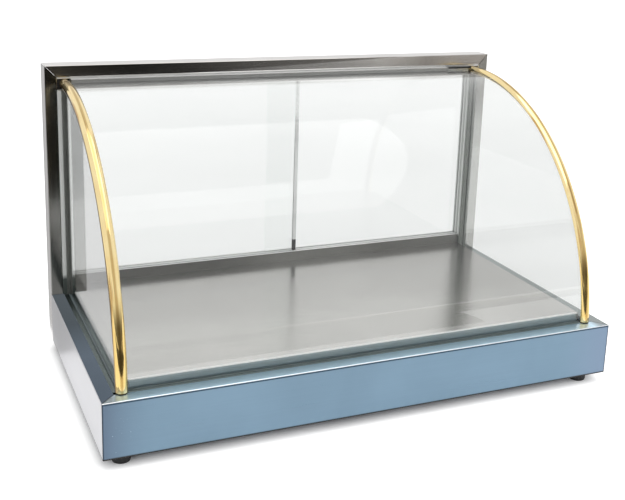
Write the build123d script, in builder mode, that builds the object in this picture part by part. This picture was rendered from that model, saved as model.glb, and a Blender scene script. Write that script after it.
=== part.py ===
"""Countertop refrigerated display case with a curved front glass.

Sizes are in millimetres. X points right, Y towards the back and Z up. The origin is the
centre of the footprint, on the surface that the feet stand on. Pieces that come in a left
and a right copy are drawn on the left, and mirrored across the middle of the case.
"""
import os
from math import asin, cos, degrees, radians, sin

from build123d import *

os.makedirs("parts", exist_ok=True)

# Case, base and rear frame
case_width = 800.0
case_depth = 438.0
base_height = 81.0
frame_height = 456.0
frame_face = 19.0
frame_depth = 37.0
frame_wall = 1.5
frame_corner_radius = 1.2
sheet = 1.2
bend_radius = 1.1
fit = 0.3

# Flanges of the base, and the deck that stands inside them
flange_side = 20.0
flange_front = 21.0
return_width = 15.0
deck_rise = 15.0
deck_inset = 39.5
deck_setback = 29.5
deck_corner_radius = 3.0
brim_lap = 6.0

# Feet
foot_height = 18.0
foot_top_diameter = 30.0
foot_tread_diameter = 25.0
foot_inset_side = 30.0
foot_inset_end = 28.0
foot_recess_diameter = 11.0
foot_recess_depth = 10.0
foot_screw_diameter = 4.0

# Glass, its seals and the brass tubes over its corners
glass = 5.0
glass_side_setback = 31.0
glass_foot_setback = 24.5
glass_top_drop = 11.0
glass_flat = 16.0
glass_gap = 0.3
seat_width = 8.0
seat_height = 2.5
seat_floor = 1.0
side_seal_width = 12.0
head_seal_lip = 2.0
head_seal_height = 6.0
head_seal_end_gap = 48.0
seal_depth = 9.0
seal_floor = 2.0
tube_diameter = 17.0
tube_wall = 1.0
tube_reach = 1.5
bead_gap = 0.05

# Door tracks and doors
track_lip = 20.0
track_web = 2.0
track_rib = 3.0
track_channel = 7.0
sill_height = 16.0
door_glass = 4.0
door_width = 398.0
door_end_gap = 8.0
door_top_lap = 5.0
bumper_gap = 0.3
shoe_floor = 1.5
shoe_length = 40.0
shoe_height = 10.0
shoe_inset = 12.0
shoe_clearance = 0.3
trim_face = 5.0
trim_wall = 1.0
trim_end_gap = 1.0
stop_height = 20.0
bumper_height = 14.0

# Cold deck
cold_plate_thickness = 3.0
cold_plate_margin = 10.0
insulation_thickness = 20.0
insulation_margin = 4.0
tray_sheet = 0.8
module_spread = 180.0
module_side = 40.0
module_thickness = 4.0
module_window = 44.0
sink_side = 120.0
sink_base = 6.0
sink_fin_height = 26.0
sink_fin_count = 19
sink_fin_thickness = 1.5
fan_side = 92.0
fan_thickness = 25.0
fan_bore = 86.0
fan_hub_diameter = 36.0
fan_hub_height = 5.0
fan_screw_spacing = 82.5
rotor_diameter = 84.0
rotor_gap = 0.5
rotor_shaft_diameter = 3.0
blade_count = 7
blade_chord = 22.0
blade_thickness = 1.6
blade_pitch = 38.0
running_gap = 0.05

# Bearers between the pan and the insulation
bearer_sheet = 1.5
bearer_flange = 25.0
front_bearer_setback = 45.0
rear_bearer_setback = 69.0

# Electrical pieces
supply_size = (160.0, 98.0, 38.0)
supply_gap = 7.0
control_height = 37.0
control_opening = (122.0, 56.0)
control_end_gap = 9.0
control_recess = 22.0
control_lap = 6.0
control_clear = 0.4
inlet_shift = 41.0
inlet_flange = (31.0, 25.0)
inlet_body = (27.0, 20.0)
inlet_socket = (23.0, 15.0)
inlet_depth = 20.0
inlet_socket_depth = 15.0
inlet_flange_thickness = 2.0
switch_shift = 5.0
switch_flange = (15.0, 21.0)
switch_body = (12.6, 19.0)
switch_well = (10.6, 16.6)
switch_depth = 18.0
switch_flange_thickness = 2.0
rocker_pin_diameter = 2.5
rocker_rest_angle = 9.0
thermostat_shift = -33.0
thermostat_side = 40.0
thermostat_depth = 36.0
bush_diameter = 10.0
knob_diameter = 34.0
knob_thickness = 15.0
knob_shaft_diameter = 6.0
knob_gap = 0.8
probe_diameter = 6.0
probe_length = 36.0
wire_diameter = 3.0
wire_bend = 6.0
jumper_bend = 5.0
mains_diameter = 5.0
mains_bend = 12.0
mains_turn_shift = 6.0
mains_height = 12.0
terminal_lead = 14.0
lead_inset = 10.0
lead_step = 6.0
fan_lead_height = 6.0
fan_lead_inset = 16.0
fan_lead_reach = 20.0
module_lead_offset = 10.0
module_lead_lift = 1.7
module_lead_height = 28.0
lead_drop_gap = 8.0
jumper_reach = 28.0
jumper_shift = 8.0
jumper_clear = 7.0
probe_setback = 24.0
probe_lead = 14.0

# Air slots of the rear panel and of the bottom pan
vent_gap = 8.6
vent_pitch = 12.0
vent_rows = 4
vent_size = (110.0, 5.0)
slot_size = (76.0, 5.0)
slot_pitch = 11.0
slot_rows = 7

# Fasteners
screw_diameter = 3.0
screw_hole = 3.2
screw_head_diameter = 6.0
screw_head_height = 1.8
screw_length = 5.0
track_screw_length = 4.4
pan_screw_end_gap = 40.0
pan_screw_count = 4
side_screw_front_gap = 70.0
side_screw_rear_gap = 30.0
post_screw_heights = (25.0, 55.0)
jamb_screw_inset = 60.0
head_screw_inset = 40.0

# Levels and planes that follow from the sizes above
half_width = case_width / 2
front = -case_depth / 2
back = case_depth / 2
base_bottom = foot_height
base_top = base_bottom + base_height
pan_top = base_bottom + sheet
return_top = pan_top + sheet
flange_bottom = base_top - sheet
brim_bottom = flange_bottom - sheet
frame_top = base_bottom + frame_height
header_bottom = frame_top - frame_face
frame_front = back - frame_depth
post_inner = half_width - frame_face
deck_top = base_top + deck_rise
deck_under = deck_top - sheet
deck_half = half_width - deck_inset
deck_front = front + deck_setback
track_depth = 3 * track_rib + 2 * track_channel
track_back = frame_front + track_depth
deck_back = track_back + 7.0
clear_half = post_inner - track_lip
head_track_bottom = header_bottom - track_lip
sill_top = deck_top + sill_height

# Curve of the front glass: a circle through the foot, level at its top
foot_y = front + glass_foot_setback
curve_y = frame_front - glass_flat
curve_top = header_bottom - glass_top_drop
curve_reach = curve_y - foot_y
curve_rise = curve_top - base_top
curve_radius = (curve_reach**2 + curve_rise**2) / (2 * curve_rise)
curve_z = curve_top - curve_radius
glass_x = half_width - glass_side_setback
glass_bottom = flange_bottom + seat_floor
glass_rear = frame_front - seal_floor
tube_clear = glass_x - tube_diameter / 2 - fit

# Stack of the cold deck, from the deck down
plate_bottom = deck_under - cold_plate_thickness
insulation_bottom = plate_bottom - insulation_thickness
tray_bottom = insulation_bottom - tray_sheet
module_top = tray_bottom + module_thickness
sink_bottom = tray_bottom - sink_base
fin_bottom = sink_bottom - sink_fin_height
fan_bottom = fin_bottom - fan_thickness

# Bearers, panel of the controls and doors
front_bearer_y = front + front_bearer_setback
rear_bearer_y = back - rear_bearer_setback
panel_inside = back - sheet
control_z = base_bottom + control_height
control_face = back - control_recess
control_inside = control_face - sheet
control_middle = post_inner - control_end_gap - control_opening[0] / 2
control_shell = (control_opening[0] + 2 * control_clear, control_opening[1] + 2 * control_clear)
inlet_offset = control_middle + inlet_shift
switch_offset = control_middle + switch_shift
thermostat_offset = control_middle + thermostat_shift
vent_middle = control_middle - control_shell[0] / 2 - control_lap - vent_gap - vent_size[0] / 2
supply_back = rear_bearer_y - bearer_flange - supply_gap
supply_front = supply_back - supply_size[1]
supply_centre_y = (supply_front + supply_back) / 2
front_channel_y = frame_front + track_rib + track_channel / 2
rear_channel_y = front_channel_y + track_channel + track_rib
door_closed_edge = post_inner - track_web - door_end_gap
door_bottom = deck_top + track_web + shoe_floor
door_top = head_track_bottom + door_top_lap
left_door_right_edge = -door_closed_edge + door_width
door_travel = 2 * door_closed_edge - door_width


def finish(piece, name):
    """Label a finished piece and write it."""
    piece.part.label = name
    export_step(piece.part, f"parts/{name}.step")


def finish_pair(piece, name):
    """Write a piece of the left side and its mirror image on the right."""
    finish(piece, f"left_{name}")
    with BuildPart() as twin:
        mirror(piece.part, about=Plane.YZ)
    finish(twin, f"right_{name}")


def block(x_span, y_span, z_span, mode=Mode.ADD):
    """Add or cut a box that is given by its spans along X, Y and Z."""
    spans = (x_span, y_span, z_span)
    centre = tuple((low + high) / 2 for low, high in spans)
    size = tuple(high - low for low, high in spans)
    with Locations(centre):
        Box(*size, mode=mode)


def seats(points, outward):
    """Planes of the given points, facing the way that a screw head sticks out."""
    return [Plane(origin=point, z_dir=outward) for point in points]


def drill(planes, diameter=screw_hole, depth=12.0):
    """Cut a hole through each seat, as deep on both sides."""
    with Locations(*planes):
        Cylinder(diameter / 2, depth, mode=Mode.SUBTRACT)


def drive(planes, length=screw_length, diameter=screw_diameter):
    """Add a round-headed screw in each seat, with its shank going in."""
    scale = diameter / screw_diameter
    with Locations(*planes):
        Cylinder(
            screw_head_diameter * scale / 2,
            screw_head_height * scale,
            align=(Align.CENTER, Align.CENTER, Align.MIN),
        )
        Cylinder(diameter / 2, length, align=(Align.CENTER, Align.CENTER, Align.MAX))


# Places of the screws
pan_screw_reach = half_width - pan_screw_end_gap
pan_screw_pitch = 2 * pan_screw_reach / (pan_screw_count - 1)
pan_screw_x = [-pan_screw_reach + place * pan_screw_pitch for place in range(pan_screw_count)]
return_middle = sheet + return_width / 2
side_screw_y = [
    front + side_screw_front_gap,
    (front + frame_front) / 2,
    frame_front - side_screw_rear_gap,
]
front_pan_seats = seats([(x, front + return_middle, base_bottom) for x in pan_screw_x], (0, 0, -1))
rear_pan_seats = seats([(x, back - return_middle, base_bottom) for x in pan_screw_x], (0, 0, -1))
left_pan_seats = seats(
    [(-half_width + return_middle, y, base_bottom) for y in side_screw_y], (0, 0, -1)
)
right_pan_seats = seats(
    [(half_width - return_middle, y, base_bottom) for y in side_screw_y], (0, 0, -1)
)
post_screw_z = [base_bottom + height for height in post_screw_heights]
left_post_seats = seats(
    [(-half_width + frame_face / 2, frame_front - sheet, z) for z in post_screw_z], (0, -1, 0)
)
left_rear_seats = seats(
    [(-post_inner + fit + sheet, back - return_middle, z) for z in post_screw_z], (1, 0, 0)
)
left_jamb_seats = seats(
    [
        (-post_inner + track_web, rear_channel_y, z)
        for z in (base_top + jamb_screw_inset, head_track_bottom - jamb_screw_inset)
    ],
    (1, 0, 0),
)
head_screw_reach = clear_half - head_screw_inset
head_track_seats = seats(
    [(x, rear_channel_y, header_bottom - track_web) for x in (-head_screw_reach, 0, head_screw_reach)],
    (0, 0, -1),
)
foot_places = [
    (x, y)
    for x in (-half_width + foot_inset_side, half_width - foot_inset_side)
    for y in (front + foot_inset_end, back - foot_inset_end)
]
module_places = [("left", -module_spread), ("right", module_spread)]

# Front panel of the base: wall, mitred top flange and bottom return
with BuildPart() as base_front_panel:
    block((-half_width, half_width), (front, front + sheet), (base_bottom, flange_bottom))
    with BuildSketch(Plane.XY.offset(flange_bottom)):
        with BuildLine():
            Polyline(
                (-half_width, front),
                (half_width, front),
                (half_width - flange_side, front + flange_front),
                (-half_width + flange_side, front + flange_front),
                close=True,
            )
        make_face()
    extrude(amount=sheet)
    return_half = half_width - sheet - return_width - 1
    block((-return_half, return_half), (front, front + sheet + return_width), (pan_top, return_top))
    top_edge = base_front_panel.edges().filter_by(Axis.X).group_by(Axis.Z)[-1].sort_by(Axis.Y)[0]
    fillet(top_edge, bend_radius)
    drill(front_pan_seats)
finish(base_front_panel, "base_front_panel")

# Side panel of the base: wall, mitred flange, bottom return and rear tab on the post
with BuildPart() as base_side_panel:
    block((-half_width, -half_width + sheet), (front + sheet, frame_front), (base_bottom, flange_bottom))
    with BuildSketch(Plane.XY.offset(flange_bottom)):
        with BuildLine():
            Polyline(
                (-half_width, front),
                (-half_width + flange_side, front + flange_front),
                (-half_width + flange_side, frame_front),
                (-half_width, frame_front),
                close=True,
            )
        make_face()
    extrude(amount=sheet)
    block(
        (-half_width, -half_width + sheet + return_width),
        (front + sheet + fit, frame_front),
        (pan_top, return_top),
    )
    block(
        (-half_width, -post_inner - fit),
        (frame_front - sheet, frame_front),
        (base_bottom + sheet, brim_bottom - fit),
    )
    top_edge = base_side_panel.edges().filter_by(Axis.Y).group_by(Axis.Z)[-1].sort_by(Axis.X)[0]
    fillet(top_edge, bend_radius)
    drill(left_pan_seats)
    drill(left_post_seats)
finish_pair(base_side_panel, "base_panel")

# Rear panel of the base, between the posts: vents, and the opening of the controls
with BuildPart() as base_rear_panel:
    panel_half = post_inner - fit
    block((-panel_half, panel_half), (back - sheet, back), (base_bottom, deck_top))
    block((-panel_half, panel_half), (deck_back + fit, back), (deck_under, deck_top))
    return_half = panel_half - sheet - 1
    block((-return_half, return_half), (back - sheet - return_width, back), (pan_top, return_top))
    for side in (-1, 1):
        outer = side * panel_half
        inner = side * (panel_half - sheet)
        block(
            (min(outer, inner), max(outer, inner)),
            (back - sheet - return_width, back),
            (return_top, brim_bottom - 1),
        )
    for side in (-1, 1):
        with BuildSketch(Plane.XZ.offset(-back)):
            with Locations((side * vent_middle, control_z)):
                with GridLocations(1, vent_pitch, 1, vent_rows):
                    SlotOverall(*vent_size)
        extrude(amount=2 * sheet, both=True, mode=Mode.SUBTRACT)
    with BuildSketch(Plane.XZ.offset(-back)):
        with Locations((control_middle, control_z)):
            RectangleRounded(*control_opening, 3)
    extrude(amount=2 * sheet, both=True, mode=Mode.SUBTRACT)
    drill(rear_pan_seats)
    drill(left_rear_seats)
    drill([Plane(origin=(-p.origin.X, p.origin.Y, p.origin.Z), z_dir=(1, 0, 0)) for p in left_rear_seats])
finish(base_rear_panel, "base_rear_panel")

# Control plate: a shallow pan behind the opening of the rear panel, which keeps the
# controls inside the depth of the case
with BuildPart() as control_plate:
    with BuildSketch(Plane.XZ.offset(-panel_inside)):
        with Locations((control_middle, control_z)):
            RectangleRounded(control_shell[0] + 2 * control_lap, control_shell[1] + 2 * control_lap, 3)
    extrude(amount=sheet)
    with BuildSketch(Plane.XZ.offset(-panel_inside)):
        with Locations((control_middle, control_z)):
            RectangleRounded(control_shell[0] + 2 * sheet, control_shell[1] + 2 * sheet, 3 + sheet)
    extrude(amount=panel_inside - control_inside)
    with BuildSketch(Plane.XZ.offset(-panel_inside)):
        with Locations((control_middle, control_z)):
            RectangleRounded(*control_shell, 3)
    extrude(amount=panel_inside - control_face, mode=Mode.SUBTRACT)
    with BuildSketch(Plane.XZ.offset(-control_face)):
        with Locations((inlet_offset, control_z)):
            Rectangle(inlet_body[0] + 2 * fit, inlet_body[1] + 2 * fit)
        with Locations((switch_offset, control_z)):
            Rectangle(switch_body[0] + 2 * fit, switch_body[1] + 2 * fit)
        with Locations((thermostat_offset, control_z)):
            Circle(bush_diameter / 2 + fit)
    extrude(amount=2 * sheet, both=True, mode=Mode.SUBTRACT)
finish(control_plate, "control_plate")

# Bottom pan, inside the walls and under their returns, with air slots under the fans
with BuildPart() as bottom_pan:
    pan_half = half_width - sheet - fit
    block((-pan_half, pan_half), (front + sheet + fit, back - sheet - fit), (base_bottom, pan_top))
    for side in (-1, 1):
        outer = side * half_width
        inner = side * (post_inner - fit)
        block(
            (min(outer, inner), max(outer, inner)),
            (frame_front - fit, back),
            (base_bottom, pan_top),
            mode=Mode.SUBTRACT,
        )
    with BuildSketch(Plane.XY.offset(base_bottom)):
        for side in (-1, 1):
            with Locations((side * module_spread, 0)):
                with GridLocations(1, slot_pitch, 1, slot_rows):
                    SlotOverall(*slot_size)
        with Locations(*foot_places):
            Circle(foot_screw_diameter / 2 + 0.1)
    extrude(amount=sheet, mode=Mode.SUBTRACT)
    drill(front_pan_seats + rear_pan_seats + left_pan_seats + right_pan_seats)
finish(bottom_pan, "bottom_pan")

# Deck: an upturned tray with a brim that lies under the flanges and carries the glass
with BuildPart() as deck_plate:
    with BuildSketch(Plane.XY.offset(brim_bottom)):
        with Locations((0, (deck_front + deck_back) / 2)):
            RectangleRounded(2 * deck_half, deck_back - deck_front, deck_corner_radius)
    extrude(amount=deck_top - brim_bottom)
    brim_half = half_width - flange_side + brim_lap
    brim_front = front + flange_front - brim_lap
    block((-brim_half, brim_half), (brim_front, frame_front - fit), (brim_bottom, flange_bottom))
    jamb_half = post_inner - fit
    block((-jamb_half, jamb_half), (frame_front - fit, track_back), (brim_bottom, flange_bottom))
    top_rim = deck_plate.faces().sort_by(Axis.Z)[-1].edges()
    fillet(top_rim, bend_radius)
    hollow_half = deck_half - sheet
    block(
        (-hollow_half, hollow_half),
        (deck_front + sheet, deck_back - sheet),
        (brim_bottom, deck_under),
        mode=Mode.SUBTRACT,
    )
finish(deck_plate, "deck_plate")


def bearer(y_web, y_flange, cable_holes):
    """C-shaped bearer from the pan to the insulation tray, with holes for the wiring."""
    length = half_width - sheet - return_width - 3
    y_low = min(y_web, y_flange)
    y_high = max(y_web, y_flange)
    block((-length, length), (y_low, y_high), (pan_top, tray_bottom))
    core_low = y_low + bearer_sheet if y_web < y_flange else y_low
    core_high = y_high if y_web < y_flange else y_high - bearer_sheet
    block(
        (-length, length),
        (core_low, core_high),
        (pan_top + bearer_sheet, tray_bottom - bearer_sheet),
        mode=Mode.SUBTRACT,
    )
    for x, z, diameter in cable_holes:
        with Locations(Plane(origin=(x, y_web, z), z_dir=(0, 1, 0))):
            Cylinder(diameter / 2, 4 * bearer_sheet, mode=Mode.SUBTRACT)


# Routes of the wiring, named here because the bearer and the insulation leave room for it
supply_half = supply_size[0] / 2
supply_low = pan_top
mains_z = supply_low + mains_height
mains_turn_x = control_middle - mains_turn_shift
mains_route = [
    (inlet_offset, control_inside - inlet_depth, control_z),
    (inlet_offset, control_inside - inlet_depth - terminal_lead, control_z),
    (mains_turn_x, rear_bearer_y + lead_inset, mains_z),
    (mains_turn_x - mains_height, rear_bearer_y - bearer_flange - 1, mains_z),
    (supply_half + 2 * fan_lead_reach, supply_centre_y + fan_lead_reach, mains_z),
    (supply_half, supply_centre_y + fan_lead_reach, mains_z),
]
jumper_y = control_inside - thermostat_depth - jumper_clear
jumper_z = control_z - jumper_shift
jumper_route = [
    (switch_offset, control_inside - switch_depth, control_z),
    (switch_offset, control_inside - switch_depth - terminal_lead, control_z),
    (thermostat_offset + jumper_reach, jumper_y, jumper_z),
    (thermostat_offset + jumper_shift, jumper_y, jumper_z),
    (thermostat_offset + jumper_shift, control_inside - thermostat_depth, jumper_z),
]
fan_lead_z = fan_bottom + fan_lead_height
fan_lead_y = fan_side / 2 - fan_lead_inset
fan_route = [
    (module_spread - fan_side / 2, fan_lead_y, fan_lead_z),
    (module_spread - fan_side / 2 - fan_lead_reach, fan_lead_y, fan_lead_z),
    (supply_half + fan_lead_reach, supply_front + lead_inset + lead_step, fan_lead_z),
    (supply_half, supply_front + lead_inset + lead_step, fan_lead_z),
]
module_lead_z = tray_bottom + tray_sheet + module_lead_lift
module_lead_y = module_lead_offset
lead_drop_x = module_spread - sink_side / 2 - lead_drop_gap
module_route = [
    (module_spread - module_side / 2, module_lead_y, module_lead_z),
    (lead_drop_x, module_lead_y, module_lead_z),
    (lead_drop_x, supply_front + lead_inset, supply_low + module_lead_height),
    (supply_half, supply_front + lead_inset, supply_low + module_lead_height),
]
probe_y = rear_bearer_y - probe_setback
probe_z = plate_bottom - probe_diameter / 2
probe_route = [
    (thermostat_offset, probe_y, probe_z),
    (thermostat_offset, probe_y + probe_lead, probe_z),
    (thermostat_offset, probe_y + probe_lead, control_z + jumper_shift),
    (thermostat_offset, control_inside - thermostat_depth, control_z + jumper_shift),
]

with BuildPart() as front_bearer:
    bearer(front_bearer_y, front_bearer_y + bearer_flange, [])
finish(front_bearer, "front_bearer")

with BuildPart() as rear_bearer:
    bearer(
        rear_bearer_y,
        rear_bearer_y - bearer_flange,
        [(thermostat_offset, control_z + 8, 10.0), (mains_turn_x - 4.2, mains_z, 14.0)],
    )
    block(
        (mains_turn_x - 30, mains_turn_x + 12),
        (rear_bearer_y - bearer_flange, rear_bearer_y),
        (pan_top, mains_z + 7),
        mode=Mode.SUBTRACT,
    )
    block(
        (thermostat_offset - 5, thermostat_offset + 5),
        (rear_bearer_y - 18, rear_bearer_y - bearer_sheet),
        (tray_bottom - bearer_sheet, tray_bottom),
        mode=Mode.SUBTRACT,
    )
finish(rear_bearer, "rear_bearer")

# Insulation slab on its sheet tray, with windows for the cold blocks and room for the leads
slab_half = deck_half - sheet - insulation_margin
slab_front = deck_front + sheet + insulation_margin
slab_back = deck_back - sheet - insulation_margin
lead_slot = wire_diameter + 1.2
with BuildPart() as insulation_slab:
    block((-slab_half, slab_half), (slab_front, slab_back), (insulation_bottom, plate_bottom))
    for side in (-1, 1):
        with Locations((side * module_spread, 0, (insulation_bottom + plate_bottom) / 2)):
            Box(module_window, module_window, insulation_thickness, mode=Mode.SUBTRACT)
        inner = side * (lead_drop_x - 5)
        outer = side * module_spread
        block(
            (min(inner, outer), max(inner, outer)),
            (module_lead_y - lead_slot / 2, module_lead_y + lead_slot / 2 + 3),
            (insulation_bottom, insulation_bottom + lead_slot),
            mode=Mode.SUBTRACT,
        )
    block(
        (thermostat_offset - probe_diameter / 2 - 0.5, thermostat_offset + probe_diameter / 2 + 0.5),
        (probe_y - probe_length - 1, probe_y + 18),
        (plate_bottom - probe_diameter - 0.5, plate_bottom),
        mode=Mode.SUBTRACT,
    )
    block(
        (thermostat_offset - lead_slot / 2, thermostat_offset + lead_slot / 2),
        (probe_y, probe_y + 18),
        (insulation_bottom, plate_bottom),
        mode=Mode.SUBTRACT,
    )
finish(insulation_slab, "insulation_slab")

with BuildPart() as insulation_tray:
    block((-slab_half, slab_half), (slab_front, slab_back), (tray_bottom, insulation_bottom))
    for side in (-1, 1):
        with Locations((side * module_spread, 0, tray_bottom + tray_sheet / 2)):
            Box(module_window, module_window, tray_sheet, mode=Mode.SUBTRACT)
        with Locations((side * lead_drop_x, module_lead_y + 1, tray_bottom + tray_sheet / 2)):
            Box(3 * lead_slot, 3 * lead_slot, tray_sheet, mode=Mode.SUBTRACT)
    block(
        (thermostat_offset - lead_slot / 2, thermostat_offset + lead_slot / 2),
        (probe_y, probe_y + 18),
        (tray_bottom, insulation_bottom),
        mode=Mode.SUBTRACT,
    )
finish(insulation_tray, "insulation_tray")

with BuildPart() as cold_plate:
    plate_half = slab_half - cold_plate_margin
    block(
        (-plate_half, plate_half),
        (slab_front + cold_plate_margin, slab_back - cold_plate_margin),
        (plate_bottom, deck_under),
    )
    fillet(cold_plate.edges().filter_by(Axis.Z), 6.0)
finish(cold_plate, "cold_plate")

# Cold blocks, thermoelectric modules, heat sinks and fans, one set on each side
with BuildPart() as cold_blocks:
    with Locations(*[(x, 0, module_top) for _, x in module_places]):
        Box(
            module_side,
            module_side,
            plate_bottom - module_top,
            align=(Align.CENTER, Align.CENTER, Align.MIN),
        )
finish(cold_blocks, "cold_blocks")

with BuildPart() as thermoelectric_modules:
    lead_boss = module_side / 2 - 1.25
    for _, x in module_places:
        with Locations((x, 0, tray_bottom + module_thickness / 2)):
            Box(module_side, module_side, module_thickness)
            Box(module_side, module_side, module_thickness / 2, mode=Mode.SUBTRACT)
            Box(module_side - 2.5, module_side - 2.5, module_thickness / 2)
        lead_x = x - lead_boss if x > 0 else x + lead_boss
        with Locations((lead_x, module_lead_y, tray_bottom + module_thickness / 2)):
            Box(2.5, wire_diameter + 1, module_thickness / 2)
finish(thermoelectric_modules, "thermoelectric_modules")

for side, x in module_places:
    with BuildPart() as heat_sink:
        with Locations((x, 0, sink_bottom)):
            Box(sink_side, sink_side, sink_base, align=(Align.CENTER, Align.CENTER, Align.MIN))
        fin_pitch = (sink_side - sink_fin_thickness) / (sink_fin_count - 1)
        with Locations((x, 0, sink_bottom)):
            with GridLocations(fin_pitch, 1, sink_fin_count, 1):
                Box(
                    sink_fin_thickness,
                    sink_side,
                    sink_fin_height,
                    align=(Align.CENTER, Align.CENTER, Align.MAX),
                )
    finish(heat_sink, f"{side}_heat_sink")

    with BuildPart() as fan_frame:
        with BuildSketch(Plane.XY.offset(fan_bottom)):
            with Locations((x, 0)):
                RectangleRounded(fan_side, fan_side, 5)
                Circle(fan_bore / 2, mode=Mode.SUBTRACT)
                with GridLocations(fan_screw_spacing, fan_screw_spacing, 2, 2):
                    Circle(screw_hole / 2, mode=Mode.SUBTRACT)
        extrude(amount=fan_thickness)
        with BuildSketch(Plane.XY.offset(fan_bottom)):
            with Locations((x, 0)):
                Circle(fan_hub_diameter / 2)
                with PolarLocations(0, 4, start_angle=45):
                    with Locations((fan_bore / 4 + fan_hub_diameter / 8, 0)):
                        Rectangle(fan_bore / 2 - fan_hub_diameter / 4 + 3, 4)
                Circle(rotor_shaft_diameter / 2 + running_gap, mode=Mode.SUBTRACT)
        extrude(amount=fan_hub_height)
    finish(fan_frame, f"{side}_fan_frame")

    with BuildPart() as fan_rotor:
        rotor_low = fan_bottom + fan_hub_height + rotor_gap
        rotor_high = fin_bottom - 1
        with BuildSketch(Plane.XY.offset(rotor_low)):
            with Locations((x, 0)):
                Circle(fan_hub_diameter / 2)
        extrude(amount=rotor_high - rotor_low)
        fillet(fan_rotor.edges().group_by(Axis.Z)[-1], 2)
        blade_reach = (rotor_diameter - fan_hub_diameter) / 2 + 2
        blade_middle = fan_hub_diameter / 2 - 2 + blade_reach / 2
        with Locations((x, 0, (rotor_low + rotor_high) / 2)):
            with PolarLocations(blade_middle, blade_count):
                Box(blade_reach, blade_chord, blade_thickness, rotation=(blade_pitch, 0, 0))
        with Locations((x, 0, (rotor_low + rotor_high) / 2)):
            Cylinder(rotor_diameter / 2, rotor_high - rotor_low, mode=Mode.INTERSECT)
        with Locations((x, 0, rotor_low)):
            Cylinder(
                rotor_shaft_diameter / 2,
                fan_hub_height,
                align=(Align.CENTER, Align.CENTER, Align.MAX),
            )
    finish(fan_rotor, f"{side}_fan_rotor")

# Power supply on the pan: a closed case with a row of terminals at each end
with BuildPart() as power_supply:
    with Locations((0, supply_centre_y, supply_low)):
        Box(*supply_size, align=(Align.CENTER, Align.CENTER, Align.MIN))
    fillet(power_supply.edges().filter_by(Axis.Z), 2.0)
    with BuildSketch(Plane.XY.offset(supply_low + supply_size[2])):
        with Locations((0, supply_centre_y)):
            with GridLocations(9, 9, 12, 7):
                Circle(2.2)
    extrude(amount=-1.0, mode=Mode.SUBTRACT)
finish(power_supply, "power_supply")

# Power inlet: flange outside the plate, body inside, socket with three pins
socket_floor = control_face + inlet_flange_thickness - inlet_socket_depth
with BuildPart() as power_inlet:
    with BuildSketch(Plane.XZ.offset(-control_face)):
        with Locations((inlet_offset, control_z)):
            RectangleRounded(*inlet_flange, 2)
    extrude(amount=-inlet_flange_thickness)
    with BuildSketch(Plane.XZ.offset(-control_face)):
        with Locations((inlet_offset, control_z)):
            RectangleRounded(*inlet_body, 1.5)
    extrude(amount=sheet + inlet_depth)
    with BuildSketch(Plane.XZ.offset(-socket_floor)):
        with Locations((inlet_offset, control_z)):
            RectangleRounded(*inlet_socket, 2)
    extrude(amount=-inlet_socket_depth, mode=Mode.SUBTRACT)
    with BuildSketch(Plane.XZ.offset(-socket_floor)):
        with Locations(
            (inlet_offset - 7, control_z - 1.5),
            (inlet_offset, control_z + 1.5),
            (inlet_offset + 7, control_z - 1.5),
        ):
            Rectangle(2, 4)
    extrude(amount=-(inlet_socket_depth - 6))
finish(power_inlet, "power_inlet")

# Rocker switch: housing with a well, and a rocker on two small pins
rocker_y = control_face + 0.5
with BuildPart() as switch_housing:
    with BuildSketch(Plane.XZ.offset(-control_face)):
        with Locations((switch_offset, control_z)):
            RectangleRounded(*switch_flange, 1.5)
    extrude(amount=-switch_flange_thickness)
    with BuildSketch(Plane.XZ.offset(-control_face)):
        with Locations((switch_offset, control_z)):
            Rectangle(*switch_body)
    extrude(amount=sheet + switch_depth)
    with BuildSketch(Plane.XZ.offset(-control_face)):
        with Locations((switch_offset, control_z)):
            Rectangle(*switch_well)
    extrude(amount=-switch_flange_thickness, mode=Mode.SUBTRACT)
    with BuildSketch(Plane.XZ.offset(-control_face)):
        with Locations((switch_offset, control_z)):
            Rectangle(*switch_well)
    extrude(amount=8, mode=Mode.SUBTRACT)
    with Locations(Plane(origin=(switch_offset, rocker_y, control_z), z_dir=(1, 0, 0))):
        Cylinder(rocker_pin_diameter / 2 + running_gap, switch_well[0] + 1.6, mode=Mode.SUBTRACT)
finish(switch_housing, "switch_housing")


def rocker_point(outward, up):
    """A point of the rocker's outline, turned about its pin to the rest angle."""
    angle = radians(rocker_rest_angle)
    return (
        rocker_y + outward * cos(angle) - up * sin(angle),
        control_z + outward * sin(angle) + up * cos(angle),
    )


rocker_half = switch_well[1] / 2 - 0.8
rocker_width = switch_well[0] - 2 * fit
with BuildPart() as switch_rocker:
    with BuildSketch(Plane.YZ.offset(switch_offset)):
        with BuildLine():
            Polyline(
                rocker_point(3.2, rocker_half),
                rocker_point(2.0, 0),
                rocker_point(3.2, -rocker_half),
                rocker_point(0.6, -rocker_half),
                rocker_point(-3.4, -2.5),
                rocker_point(-3.4, 2.5),
                rocker_point(0.6, rocker_half),
                close=True,
            )
        make_face()
    extrude(amount=rocker_width / 2, both=True)
    with Locations(Plane(origin=(switch_offset, rocker_y, control_z), z_dir=(1, 0, 0))):
        Cylinder(rocker_pin_diameter / 2, switch_well[0] + 1.2)
finish(switch_rocker, "switch_rocker")

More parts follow.
